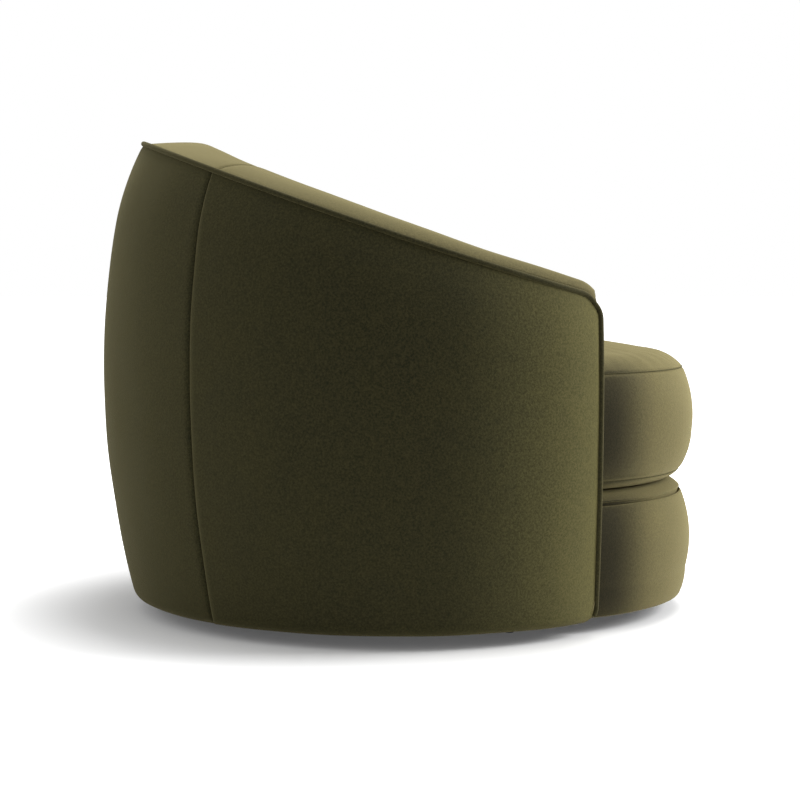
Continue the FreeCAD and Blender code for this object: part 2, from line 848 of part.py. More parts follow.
def lap(angle, height):
    """Where an upright and a former meet in their half laps."""
    top = piping_place(angle)[1]
    outer = barrel(height) - frame_inset - rolled(height, top)
    return (frame_reach(angle, height) + outer) / 2


def rib_shape(angle):
    across = at(angle + 90, ply / 2, 0)
    shape = Part.Face(rib_wire(angle)).extrude(across * 2)
    shape.translate(across * -1)
    for height in former_heights(angle):
        notch = radial_board(
            angle, 0.0, lap(angle, height) + slot_gap, height - slot_gap, height + ply + slot_gap, 2 * ply
        )
        shape = shape.cut(notch)
    return cleared(shape)


def former_heights(angle):
    """The formers that an upright carries in half laps; the front upright takes them against its rear face."""
    heights = []
    if angle > cell("front_rib_angle"):
        heights.append(cell("middle_former_height"))
    if angle > cell("arm_rib_angle"):
        heights.append(cell("upper_former_height"))
    return heights


for name, angle in RIBS:
    rib = rib_shape(angle)
    formed(name + "_left", rib)
    formed(name + "_right", mirrored(rib))
formed("back_middle_rib", rib_shape(180))


def hidden_reach(angle, height):
    """Reach of the frame at a height on the straight steps of the hidden faces."""
    places = hidden_face(angle, frame_inset, board_top, piping_place(angle)[1] - pipe_seat)
    for low, high in zip(places, places[1:]):
        if low[1] <= height <= high[1]:
            return low[0] + (high[0] - low[0]) * (height - low[1]) / (high[1] - low[1])
    raise RuntimeError("no hidden face at that height")


def former(height, first):
    """A crescent of plywood between the barrel's curve and the inner circle, slotted over the uprights."""
    turns = stations(first, 360 - first)
    outer = []
    inner = []
    for angle in turns:
        reach = min(hidden_reach(angle, height), hidden_reach(angle, height + ply))
        outer.append(at(angle, reach, height))
        inner.append(at(angle, frame_reach(angle, height + ply), height))
    outline = outer + list(reversed(inner))
    shape = Part.Face(Part.makePolygon(outline + outline[:1])).extrude(Vector(0, 0, ply))
    shape = shape.cut(radial_board(first, 0.0, far, 0.0, far, ply + 2 * slot_gap))
    shape = shape.cut(radial_board(-first, 0.0, far, 0.0, far, ply + 2 * slot_gap))
    for name, angle in RIBS + [("back_middle_rib", 180)]:
        if angle > first:
            for turn in {angle, 360 - angle}:
                reach = lap(angle, height)
                shape = shape.cut(radial_board(turn, reach, far, 0.0, far, ply + 2 * slot_gap))
    return shape


formed("middle_former", former(cell("middle_former_height"), cell("front_rib_angle")))
formed("upper_former", former(cell("upper_former_height"), cell("arm_rib_angle")))


def band_room():
    """The room of the seat base's band, a little wider and longer than the band."""
    inner = cell("band_radius") - cell("band_thickness") - gap
    outer = cell("band_radius") + gap
    places = [(inner, 0.0), (outer, 0.0), (outer, ring_top), (inner, ring_top)]
    return seat_turned(places, cell("band_end_angle"), cell("band_clearance"))


def base_outline(low, high, inset, front):
    """The chair's plan at a height: the barrel's disc behind the arm fronts and the seat's disc before it."""
    band = cell("band_radius") - cell("band_thickness") - gap
    wide = disc(barrel(low) - inset, low, high).common(slab(low, high, front))
    return wide, disc(band, low, high, seat_centre)


wide, round_front = base_outline(board_base, board_top, skin + frame_ease, facing_step - gap)
bottom_board = wide.fuse(round_front).cut(band_room()).removeSplitter()
bottom_board = bottom_board.cut(disc(cell("board_hole_radius"), 0, board_top + overrun))
formed("bottom_board", bottom_board)

wide, round_front = base_outline(cell("ring_height"), ring_top, frame_inset, far)
wide = wide.common(sector(cell("front_rib_angle"), 360 - cell("front_rib_angle"), 0, far))
for side in (-1, 1):
    turn = side * cell("front_rib_angle")
    wide = wide.cut(radial_board(turn, 0.0, far, 0.0, far, ply + 2 * slot_gap))
seat_ring = wide.fuse(disc(cell("band_radius") - cell("band_thickness") - gap, ring_top - ply, ring_top, seat_centre))
seat_ring = seat_ring.cut(disc(cell("ring_hole_radius"), 0, far, seat_centre))
for name, angle in RIBS + [("back_middle_rib", 180)]:
    for turn in {angle, 360 - angle}:
        inner = frame_reach(angle, ring_top) - slot_gap
        seat_ring = seat_ring.cut(radial_board(turn, inner, far, 0.0, far, ply + 2 * slot_gap))
formed("seat_ring", seat_ring.removeSplitter())

for name, turn in (("right", -1), ("centre", 0), ("left", 1)):
    outer = cell("band_radius") - cell("band_thickness") - 2 * gap
    strut = Part.makeBox(
        ply,
        cell("strut_depth"),
        cell("ring_height") - board_top,
        Vector(-ply / 2, -outer, board_top),
    )
    strut.rotate(Vector(), Vector(0, 0, 1), turn * cell("strut_angle"))
    strut.translate(Vector(0, -seat_centre, 0))
    formed("front_strut_" + name, strut)


formed("top_rail", lofted(cap_section, rail_start, 360 - rail_start))


def liner_section(angle):
    outer = skin + gap + slot_gap
    return layer_section(angle, outer, outer + cell("liner_thickness"), board_top, cap_low + gap)


formed("shell_liner", lofted(liner_section, rail_start, 360 - rail_start))


def strap(low):
    def section(angle):
        return strap_section(angle, low)

    return section


for name, low, first in STRAPS:
    formed(name, lofted(strap(cell(low)), cell(first), 360 - cell(first)))


# The upholstered seat base, its deck and the loose cushion, turned about the seat's own axis
band = cell("band_radius")
roll = cell("band_roll")
band_inner = band - cell("band_thickness")
roll_top = floor_gap + roll
seam = (cell("band_seam_radius"), cell("band_seam_height"))
belly = (band, cell("band_belly_height"))
rise = seam[1] - belly[1]
draw = band - seam[0]
band_bow = (rise * rise + draw * draw) / (2 * draw)
roll_edge = (band - band_bow + math.sqrt(band_bow**2 - (belly[1] - roll_top) ** 2), roll_top)
roll_mid = (
    band_inner + ROLL_OUT * (roll_edge[0] - band_inner),
    roll_top - ROLL_DOWN * roll,
)
band_places = [(seam[0], seam[1] - gap)]
band_places += arc("band_side", band_places[0], belly, roll_edge)
band_places += arc("band_roll", roll_edge, roll_mid, (band_inner, floor_gap))
band_places.append((band_inner, seam[1] - gap))
formed("seat_base_band", seat_turned(band_places, cell("band_end_angle")))

deck_top = cell("deck_top_height")
shoulder = cell("deck_shoulder_radius")
deck_under = deck_top - cell("deck_padding")
rim_radius = band_inner - gap - cell("deck_rim")
deck_bulge = (seam[0] - DECK_IN * (seam[0] - shoulder), deck_top - DECK_DOWN * (deck_top - seam[1]))
deck_places = [
    (0.0, deck_under),
    (rim_radius, deck_under),
    (rim_radius, ring_top + gap),
    (band_inner - gap, ring_top + gap),
    (band_inner - gap, seam[1]),
]
deck_places += arc("deck", seam, deck_bulge, (shoulder, deck_top))
deck_places.append((0.0, deck_top))
formed("seat_deck", seat_turned(deck_places))

cushion_low = deck_top + cell("cushion_gap")
foot_place = (cell("cushion_foot_radius"), cushion_low)
low_seam = (cell("cushion_low_seam_radius"), cell("cushion_low_seam_height"))
top_seam = (cell("cushion_top_seam_radius"), cell("cushion_top_seam_height"))
side_bulge = (cell("cushion_radius"), cell("cushion_belly_height"))
shoulder_place = (cell("cushion_shoulder_radius"), cell("cushion_shoulder_height"))
crown_place = (0.0, cell("cushion_crown_height"))
low_turn = (
    foot_place[0] + FOOT_OUT * (low_seam[0] - foot_place[0]),
    foot_place[1] + FOOT_UP * (low_seam[1] - foot_place[1]),
)
top_turn = (
    shoulder_place[0] + SHOULDER_SHARE * (top_seam[0] - shoulder_place[0]),
    top_seam[1] + SHOULDER_SHARE * (shoulder_place[1] - top_seam[1]),
)
crown_turn = (
    shoulder_place[0] / 2,
    crown_place[1] - (crown_place[1] - shoulder_place[1]) / 4,
)
cushion_places = [(0.0, cushion_low), foot_place]
cushion_places += arc("foot", foot_place, low_turn, low_seam)
cushion_places += arc("bulge", low_seam, side_bulge, top_seam)
cushion_places += arc("shoulder", top_seam, top_turn, shoulder_place)
cushion_places += arc("dome", shoulder_place, crown_turn, crown_place)
formed("seat_cushion", seat_turned(cushion_places))

# The woven webbing under the deck: bands along and across, each passing over and under the others
web_width = cell("web_width")
web_thick = cell("web_thickness")
web_pitch = cell("web_pitch")


def woven(own):
    """A band's side view: level over each crossing and sloping between them, its ends down on the seat ring."""
    hole = cell("ring_hole_radius")
    reach = math.sqrt(hole * hole - (own * web_pitch) ** 2)
    line = [(-reach - cell("web_tack"), ring_top), (-reach, ring_top)]
    for other, place in enumerate(WEB_PLACES):
        over = (int(own + WEB_PLACES[-1]) + other) % 2
        level = ring_top + over * (web_thick + gap)
        line.append((place * web_pitch - web_width / 2, level))
        line.append((place * web_pitch + web_width / 2, level))
    line += [(reach, ring_top), (reach + cell("web_tack"), ring_top)]
    lower = [Vector(0, along, height) for along, height in line]
    upper = [Vector(0, along, height + web_thick) for along, height in reversed(line)]
    return Part.Face(Part.makePolygon(lower + upper + lower[:1])).extrude(Vector(web_width, 0, 0))


for index, place in enumerate(WEB_PLACES):
    shift = place * web_pitch - web_width / 2
    band_along = woven(place)
    band_along.translate(Vector(shift, -seat_centre, 0))
    formed("seat_web_along_%d" % (index + 1), band_along)
    band_across = woven(place)
    band_across.translate(Vector(shift, 0, 0))
    band_across.rotate(Vector(), Vector(0, 0, 1), -90)
    band_across.translate(Vector(0, -seat_centre, 0))
    formed("seat_web_across_%d" % (index + 1), band_across)

# The dust cover under the bottom board
cloth = cell("dust_cover_thickness")
wide, round_front = base_outline(board_base - gap - cloth, board_base - gap, skin + frame_ease, facing_step - gap)
dust_cover = wide.fuse(round_front).cut(band_room()).removeSplitter()
formed("dust_cover", dust_cover.cut(disc(cell("board_hole_radius"), 0, board_top)))

# Square plates with rounded corners and round holes
def plate(label, side, thickness, corner):
    """A square plate with its underside at zero."""
    body = doc.addObject("PartDesign::Body", label)
    half = side + " / 2"
    less = "0 - " + half
    corners = [(less, less), (half, less), (half, half), (less, half)]
    outline = outline_sketch(body, label + "_outline", "XY_Plane", corners)
    pad = body.newObject("PartDesign::Pad", label + "_pad")
    pad.Profile = outline
    bind(pad, Length=thickness)
    doc.recompute()
    upright = [
        "Edge%d" % (number + 1)
        for number, edge in enumerate(pad.Shape.Edges)
        if edge.BoundBox.ZLength > pad.Shape.BoundBox.ZLength / 2
    ]
    fillet = body.newObject("PartDesign::Fillet", label + "_corners")
    fillet.Base = (pad, upright)
    bind(fillet, Radius=corner)
    return body


def bored(body, label, name, holes, radius, thickness):
    """Round holes through a plate; each centre is a pair of sums."""
    sketch = body.newObject("Sketcher::SketchObject", label + "_" + name)
    sketch.AttachmentSupport = [(plane_of(body, "XY_Plane"), "")]
    sketch.MapMode = "FlatFace"
    for index, (across, up) in enumerate(holes):
        centre = Vector(amount(across), amount(up), 0)
        sketch.addGeometry(Part.Circle(centre, Vector(0, 0, 1), amount(radius)))
        held = sketch.addConstraint(Sketcher.Constraint("Radius", index, amount(radius)))
        sketch.renameConstraint(held, "radius%d" % index)
        sketch.setExpression("Constraints.radius%d" % index, cells(radius))
        for word, text, value in (("X", across, centre.x), ("Y", up, centre.y)):
            held = sketch.addConstraint(Sketcher.Constraint("Distance" + word, -1, 1, index, 3, value))
            sketch.renameConstraint(held, "hole%d%s" % (index, word))
            sketch.setExpression("Constraints.hole%d%s" % (index, word), cells(text))
    doc.recompute()
    before = body.Shape.Volume
    pocket = body.newObject("PartDesign::Pocket", label + "_" + name + "_cut")
    pocket.Profile = sketch
    pocket.Reversed = True
    bind(pocket, Length=thickness)
    doc.recompute()
    if body.Shape.Volume >= before:
        raise RuntimeError("no hole was cut in " + label)
    return body


def four_corners(reach):
    less = "0 - " + reach
    return [(reach, reach), (less, reach), (less, less), (reach, less)]


turn = cell("base_turn")
PLATE_TOP = BAR_TOP + " + plate_thickness"
UPPER_PLATE = PLATE_TOP + " + race_stack"
BOLT_HOLE = "bolt_size / 2 + bore_gap"

# The board over the swivel, with a pocket over the pivot pin and holes for the bolts
swivel_board = plate("swivel_board", "board_side", "ply", "board_corner")
bored(swivel_board, "swivel_board", "bolt_holes", four_corners("plate_bolt_reach"), BOLT_HOLE, "ply")
bored(swivel_board, "swivel_board", "pocket", [("0", "0")], "pocket_radius", "ply")
node(put(swivel_board, z=BOARD_TOP), "swivel_board")

# The two stamped plates
lower_plate = plate("lower_plate", "plate_side", "plate_thickness", "plate_corner")
bored(lower_plate, "lower_plate", "bore", [("0", "0")], "pin_size / 2 + bore_gap", "plate_thickness")
node(put(lower_plate, z=BAR_TOP, turn=-turn), "lower_plate")
upper_plate = plate("upper_plate", "plate_side", "plate_thickness", "plate_corner")
bored(upper_plate, "upper_plate", "bolt_holes", four_corners("plate_bolt_reach"), BOLT_HOLE, "plate_thickness")
bored(upper_plate, "upper_plate", "bore", [("0", "0")], "pin_size / 2 + pin_play", "plate_thickness")
node(put(upper_plate, z=UPPER_PLATE), "upper_plate")

# The bearing: a nylon ring on the lower plate and the steel ring that runs on it
inner = "race_radius - race_width / 2"
outer = "race_radius + race_width / 2"
RUN_HEIGHT = PLATE_TOP + " + race_stack / 2"
ring_blank = [(inner, PLATE_TOP), (outer, PLATE_TOP), (outer, RUN_HEIGHT), (inner, RUN_HEIGHT)]
node(turned("nylon_ring", ring_blank), "nylon_ring")
run_low = RUN_HEIGHT + " + ring_play"
race = turned("upper_race", [(inner, run_low), (outer, run_low), (outer, UPPER_PLATE), (inner, UPPER_PLATE)])
node(race, "upper_race")

# The pivot pin through both plates, with a flange over the upper one
stem = "pin_size / 2"
flange = "pin_head / 2"
pin_high = BOARD_TOP + " + pin_play"
pin = turned(
    "pivot_pin",
    [
        ("0", BAR_TOP),
        (stem, BAR_TOP),
        (stem, pin_high),
        (flange, pin_high),
        (flange, pin_high + " + pin_head_height"),
        ("0", pin_high + " + pin_head_height"),
    ],
)
node(pin, "pivot_pin")


# The cross of rectangular tube, each bar drawn along the front direction and then turned into its place
def bar_at(label, near, out, angle, holes):
    """A tube between two distances from the swivel axis, both sums of cells, turned to an angle."""
    long = out + " - " + near if near else out + " + " + out
    back = "0 - " + out
    outer = box(label + "_outer", "bar_width", long, "bar_height", "0 - bar_width / 2", back, "glide_height")
    inner = box(
        label + "_inner",
        "bar_width - 2 * bar_wall",
        long + " + 2 * overrun",
        "bar_height - 2 * bar_wall",
        "bar_wall - bar_width / 2",
        back + " - overrun",
        "glide_height + bar_wall",
    )
    tools = [inner]
    for index, distance in enumerate(holes):
        name = "%s_hole_%d" % (label, index)
        tall = "overrun + glide_stem"
        tools.append(cylinder(name, "glide_stem / 2 + bore_gap", tall, "glide_height - overrun", "0", distance))
    made = cut(label, outer, fuse(label + "_room", tools))
    made.Placement = FreeCAD.Placement(Vector(), FreeCAD.Rotation(Vector(0, 0, 1), angle))
    return node(made, label)


bar_at("base_long_bar", "", "bar_reach", -turn, ["0 - glide_reach", "glide_reach"])
bar_at("base_short_bar_left", "bar_width / 2", "bar_reach", 90 - turn, ["0 - glide_reach"])
bar_at("base_short_bar_right", "bar_width / 2", "bar_reach", 270 - turn, ["0 - glide_reach"])

caps = []
glides = []
for index in range(4):
    spin = FreeCAD.Placement(Vector(), FreeCAD.Rotation(Vector(0, 0, 1), 90 * index - turn))
    end = box(
        "bar_cap_%d" % index,
        "bar_width",
        "cap_depth",
        "bar_height",
        "0 - bar_width / 2",
        "0 - bar_reach - cap_depth",
        "glide_height",
    )
    plug = box(
        "bar_plug_%d" % index,
        "bar_width - 2 * bar_wall - 2 * bore_gap",
        "cap_depth",
        "bar_height - 2 * bar_wall - 2 * bore_gap",
        "bar_wall + bore_gap - bar_width / 2",
        "0 - bar_reach",
        "glide_height + bar_wall + bore_gap",
    )
    caps.append(fuse("bar_end_%d" % index, [end, plug]))
    foot = cylinder("glide_foot_%d" % index, "glide_size / 2", "glide_height", "0", "0", "0 - glide_reach")
    stem_height = "glide_height + glide_stem - bar_wall"
    stem_part = cylinder("glide_stem_%d" % index, "glide_stem / 2", stem_height, "0", "0", "0 - glide_reach")
    glides.append(fuse("glide_%d" % index, [foot, stem_part]))
    caps[-1].Placement = spin
    glides[-1].Placement = spin
group("bar_end_caps", caps)
group("floor_glides", glides)


def hexagon(name, low, tall, place):
    part = bind(doc.addObject("Part::Prism", name), Circumradius="bolt_head / 2", Height=tall)
    return put(part, place[0], place[1], low)


# The bolts through the upper plate and the board over the swivel
head_low = UPPER_PLATE + " - bolt_head_height"
nut_low = BOARD_TOP + " + ply"
bolt_length = "plate_thickness + ply + bolt_head_height + bolt_end"
bolts = []
nuts = []
for index, place in enumerate(four_corners("plate_bolt_reach")):
    head = hexagon("bolt_head_%d" % index, head_low, "bolt_head_height", place)
    shank = cylinder("bolt_shank_%d" % index, "bolt_size / 2", bolt_length, UPPER_PLATE, *place)
    blank = hexagon("nut_blank_%d" % index, nut_low, "bolt_head_height", place)
    thread = cylinder("nut_bore_%d" % index, BOLT_HOLE, "ply", nut_low, *place)
    bolts.append(fuse("bolt_%d" % index, [head, shank]))
    nuts.append(cut("nut_%d" % index, blank, thread))
group("plate_bolts", bolts)
group("plate_nuts", nuts)

# Every object is sound before anything is written
doc.recompute()
for thing in doc.Objects:
    if "Invalid" in thing.State or "Error" in thing.State:
        raise RuntimeError("%s did not recompute: %s" % (thing.Name, thing.State))
for thing in nodes:
    if thing.Shape.isNull() or not thing.Shape.isValid() or not thing.Shape.Solids:
        raise RuntimeError(thing.Label + " has no sound solid")
os.makedirs("parts", exist_ok=True)
triangles = 0
for thing in nodes:
    thing.Shape.exportStep("parts/%s.step" % thing.Label)
    faces = thing.Shape.copy().tessellate(0.4)[1]
    triangles += len(faces)
    box_size = thing.Shape.BoundBox
    print(
        "%-26s %2d solids %6d faces  z %.1f to %.1f"
        % (thing.Label, len(thing.Shape.Solids), len(faces), box_size.ZMin, box_size.ZMax)
    )
print(len(nodes), "nodes,", triangles, "triangles")
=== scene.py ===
# %% [markdown]
# # A round-backed swivel armchair
# The solids of the chair come from the CAD model. This lesson dresses them: it gives the velvet its
# softness, sews the seams, lays the piping, and lights the chair as a studio would.
# Lengths are in metres. The chair faces -Y and the origin is on the floor under the swivel.

# %% Load the CAD frame
import json
import math
import bmesh
import bpy
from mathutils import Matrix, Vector, noise


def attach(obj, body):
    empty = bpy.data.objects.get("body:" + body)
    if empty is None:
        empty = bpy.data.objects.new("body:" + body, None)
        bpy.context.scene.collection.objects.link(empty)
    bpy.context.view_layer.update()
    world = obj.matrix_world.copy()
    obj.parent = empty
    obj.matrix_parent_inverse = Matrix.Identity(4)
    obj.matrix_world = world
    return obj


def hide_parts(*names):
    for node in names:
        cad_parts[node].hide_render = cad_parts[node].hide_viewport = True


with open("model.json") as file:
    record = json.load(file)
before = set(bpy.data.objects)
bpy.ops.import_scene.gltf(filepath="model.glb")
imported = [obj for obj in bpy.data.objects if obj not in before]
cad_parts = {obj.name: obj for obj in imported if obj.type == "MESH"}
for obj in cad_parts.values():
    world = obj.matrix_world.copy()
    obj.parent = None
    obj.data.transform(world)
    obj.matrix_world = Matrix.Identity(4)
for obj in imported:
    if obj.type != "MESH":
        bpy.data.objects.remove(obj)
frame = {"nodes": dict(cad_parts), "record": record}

for spare in ("Cube", "Light", "Camera"):
    if spare in bpy.data.objects:
        bpy.data.objects.remove(bpy.data.objects[spare])
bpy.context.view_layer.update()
nodes = frame["nodes"]

# %% [markdown]
# The chair's wall is one barrel: a long arc that is widest at half height and draws in towards the
# floor. The piping runs along it in a shallow curve, high at the back and low at the arms. The
# solids follow the same curves, so they are written here once and every cover is laid along them.

# %% The barrel's curves
SHELL_RADIUS, BELLY = 0.466, 0.378  # the widest radius and its height
FLOOR_GAP, DRAW, TOP_DRAW = 0.020, 0.047, 0.052  # lower edge; how far foot and top draw in
ROLL_IN, ROLL_HEIGHT, SKIN = 0.014, 0.120, 0.014  # the wall rolls in at the top; covers' thickness
BACK_TOP, SIDE_TOP, ARM_TOP, ARM_FRONT = 0.732, 0.583, 0.495, 0.290  # the piping's line
CROWN_BACK, CROWN_REACH, CROWN_SIDE, CROWN_FRONT = 0.736, 0.335, 0.606, 0.512  # the crown's line
SETTLE, SETTLE_AT, SETTLE_WIDTH = 0.0025, -0.285, 0.07  # the crown's dip behind
SEAM_ANGLE = 129.5  # of the upright seams, from the front
SEAM_LAP = 0.3  # degrees by which the back pad runs on under the arm pads' seams
SEAT_CENTRE, CAVITY, LEAN = 0.128, 0.344, 0.048  # the seat's round and the back's lean
PIPE = 0.004  # the piping's radius
RING_TOP, FACING_LOW = 0.1785, 0.0285  # where the padding and the arm fronts end below


def barrel(height):
    """The wall's radius at a height: one arc below the belly and one above."""
    rise, draw = (BELLY - FLOOR_GAP, DRAW) if height < BELLY else (BACK_TOP - BELLY, TOP_DRAW)
    bow = (rise * rise + draw * draw) / (2 * draw)
    return SHELL_RADIUS - bow + math.sqrt(bow * bow - (height - BELLY) ** 2)


def shallow(forward, back, high, middle, low):
    """A height on the parabola through three: at the back, in the middle plane and at the front."""
    at_back = high * forward * (forward - ARM_FRONT) / (back * (back - ARM_FRONT))
    at_mid = middle * (forward - back) * (forward - ARM_FRONT) / (back * ARM_FRONT)
    at_front = low * (forward - back) * forward / ((ARM_FRONT - back) * ARM_FRONT)
    return at_back + at_mid + at_front


def top_line(forward):
    """The piping's height at a distance ahead of the swivel."""
    return shallow(forward, ROLL_IN - barrel(BACK_TOP), BACK_TOP, SIDE_TOP, ARM_TOP)


def crown_line(forward):
    """The crown's height; it settles a little beside the middle of the back."""
    settled = SETTLE * math.exp(-(((forward - SETTLE_AT) / SETTLE_WIDTH) ** 2))
    return shallow(forward, -CROWN_REACH, CROWN_BACK, CROWN_SIDE, CROWN_FRONT) - settled


def rolled(height, top):
    """How far the wall has rolled in, just below its top."""
    share = max(0.0, 1 - (top - height) / ROLL_HEIGHT)
    return ROLL_IN * share * share


def place(angle, radius, height, ahead=0.0):
    """A point by its angle from the front, round an axis that may stand ahead of the swivel."""
    turn = math.radians(angle)
    return Vector((radius * math.sin(turn), -radius * math.cos(turn) - ahead, height))


def pipe_place(angle):
    """The piping's radius and height at an angle. Each depends on the other, hence the steps."""
    height = SIDE_TOP
    for step in range(30):
        radius = barrel(height) - ROLL_IN
        height = top_line(radius * math.cos(math.radians(angle)))
    return barrel(height) - ROLL_IN, height


def eased(share, pull=0.5):
    """Even steps that crowd together towards both ends."""
    return share * (1 - pull) + pull * (0.5 - 0.5 * math.cos(math.pi * share))


def edge_roll(away, width=0.012, depth=0.0045):
    """How far a stuffed edge has rolled in, at a distance from its seam."""
    if away >= width:
        return 0.0
    share = 1 - max(0.0, away) / width
    return depth * (1 - math.sqrt(max(0.0, 1 - share * share)))


print("widest", round(barrel(BELLY), 3), "lower edge", round(barrel(FLOOR_GAP), 3))

# %% [markdown]
# Upholstery is a skin pulled over a form, so each cover is made the same way: a row of closed
# outlines, each in its own plane, joined into one closed mesh. A few more outlines that shrink
# towards the middle close each end with a rounded edge, as a stuffed panel has beside a seam.

# %% A closed cover from a row of outlines
def cover_mesh(name, outlines, closed=False, smooth=1):
    mesh = bpy.data.meshes.new(name)
    bm = bmesh.new()
    rings = [[bm.verts.new(point) for point in outline] for outline in outlines]
    count = len(rings[0])
    pairs = list(zip(rings, rings[1:])) + ([(rings[-1], rings[0])] if closed else [])
    for near, ahead in pairs:
        for index in range(count):
            after = (index + 1) % count
            bm.faces.new((near[index], near[after], ahead[after], ahead[index]))
    if not closed:
        for ring in (rings[0], rings[-1]):
            for index in range(count // 2):
                corners = [ring[index], ring[index + 1], ring[-2 - index], ring[-1 - index]]
                if len(set(corners)) == 4:
                    bm.faces.new(corners)
    bmesh.ops.recalc_face_normals(bm, faces=bm.faces)
    bm.to_mesh(mesh)
    bm.free()
    piece = bpy.data.objects.new(name, mesh)
    bpy.context.collection.objects.link(piece)
    for face in mesh.polygons:
        face.use_smooth = True
    if smooth:
        finer = piece.modifiers.new("finer", "SUBSURF")
        finer.levels = smooth
        finer.render_levels = smooth
    return piece


def apply_all(piece):
    graph = bpy.context.evaluated_depsgraph_get()
    made = bpy.data.meshes.new_from_object(piece.evaluated_get(graph))
    piece.modifiers.clear()
    piece.data = made
    for face in made.polygons:
        face.use_smooth = True
    return piece


def soft_waves(piece, size, height, seed=0.0, keep=None):
    """Lets the surface swell a little here and there, as padding does under cloth."""
    normals = [vertex.normal.copy() for vertex in piece.data.vertices]
    shift = Vector((seed, seed, seed))
    for vertex, normal in zip(piece.data.vertices, normals):
        share = 1.0 if keep is None else keep(vertex.co)
        vertex.co += normal * (noise.noise(vertex.co * size + shift) * height * share)
    piece.data.update()
    return piece


# %% [markdown]
# The velvet is one cloth on every cover, painted in two copies: a darker, shaded copy on the outer
# covers, the piping and the cushion's seam rings, and a lighter, lit copy on the pads and the seat.
# Its pile looks dark where one looks straight into it and light where one looks across it, and
# hands leave faint paler strokes in it. A shared group makes the pile's colour and height; the
# sheen is set on each material's own shader, and a painted sheen also lightens the colour at
# grazing angles. A second group paints light and shade along the chair's depth.

# %% The pile of the velvet
def new_group(name, inputs, outputs):
    group = bpy.data.node_groups.new(name, "ShaderNodeTree")
    for label, kind, value in inputs:
        socket = group.interface.new_socket(name=label, in_out="INPUT", socket_type=kind)
        socket.default_value = value
    for label, kind in outputs:
        group.interface.new_socket(name=label, in_out="OUTPUT", socket_type=kind)
    return group, group.nodes.new("NodeGroupInput"), group.nodes.new("NodeGroupOutput")


def add(tree, kind, **values):
    made = tree.nodes.new(kind)
    for key, value in values.items():
        if hasattr(made, key):
            setattr(made, key, value)
        else:
            made.inputs[key].default_value = value
    return made


def pile_group():
    colour = "NodeSocketColor"
    number = "NodeSocketFloat"
    group, enter, leave = new_group(
        "velvet pile",
        [
            ("Deep", colour, (0.05, 0.05, 0.02, 1)),
            ("Pale", colour, (0.2, 0.2, 0.1, 1)),
            ("Strokes", number, 14.0),
            ("Fleck", number, 330.0),
        ],
        [("Color", colour), ("Height", number), ("Roughness", number)],
    )
    link = group.links.new
    spot = add(group, "ShaderNodeTexCoord")
    strokes = add(group, "ShaderNodeTexNoise", Detail=3.0, Roughness=0.6, Distortion=0.8)
    fleck = add(group, "ShaderNodeTexNoise", Detail=4.0, Roughness=0.7)
    tufts = add(group, "ShaderNodeTexVoronoi", feature="F1")
    link(spot.outputs["Object"], strokes.inputs["Vector"])
    link(spot.outputs["Object"], fleck.inputs["Vector"])
    link(spot.outputs["Object"], tufts.inputs["Vector"])
    link(enter.outputs["Strokes"], strokes.inputs["Scale"])
    link(enter.outputs["Fleck"], fleck.inputs["Scale"])
    finer = add(group, "ShaderNodeMath", operation="MULTIPLY")
    finer.inputs[1].default_value = 2.6
    link(enter.outputs["Fleck"], finer.inputs[0])
    link(finer.outputs[0], tufts.inputs["Scale"])
    broad = add(group, "ShaderNodeMapRange")
    broad.inputs["From Min"].default_value = 0.3
    broad.inputs["From Max"].default_value = 0.72
    broad.inputs["To Max"].default_value = 0.16
    link(strokes.outputs["Fac"], broad.inputs["Value"])
    small = add(group, "ShaderNodeMapRange")
    small.inputs["From Min"].default_value = 0.36
    small.inputs["From Max"].default_value = 0.64
    small.inputs["To Max"].default_value = 0.84
    link(fleck.outputs["Fac"], small.inputs["Value"])
    both = add(group, "ShaderNodeMath", operation="ADD")
    link(broad.outputs[0], both.inputs[0])
    link(small.outputs[0], both.inputs[1])
    mix = add(group, "ShaderNodeMix", data_type="RGBA")
    link(both.outputs[0], mix.inputs["Factor"])
    link(enter.outputs["Deep"], mix.inputs["A"])
    link(enter.outputs["Pale"], mix.inputs["B"])
    link(mix.outputs["Result"], leave.inputs["Color"])
    height = add(group, "ShaderNodeMath", operation="ADD")
    link(fleck.outputs["Fac"], height.inputs[0])
    link(tufts.outputs["Distance"], height.inputs[1])
    link(height.outputs[0], leave.inputs["Height"])
    rough = add(group, "ShaderNodeMapRange")
    rough.inputs["To Min"].default_value = 0.82
    rough.inputs["To Max"].default_value = 0.98
    link(strokes.outputs["Fac"], rough.inputs["Value"])
    link(rough.outputs[0], leave.inputs["Roughness"])
    return group


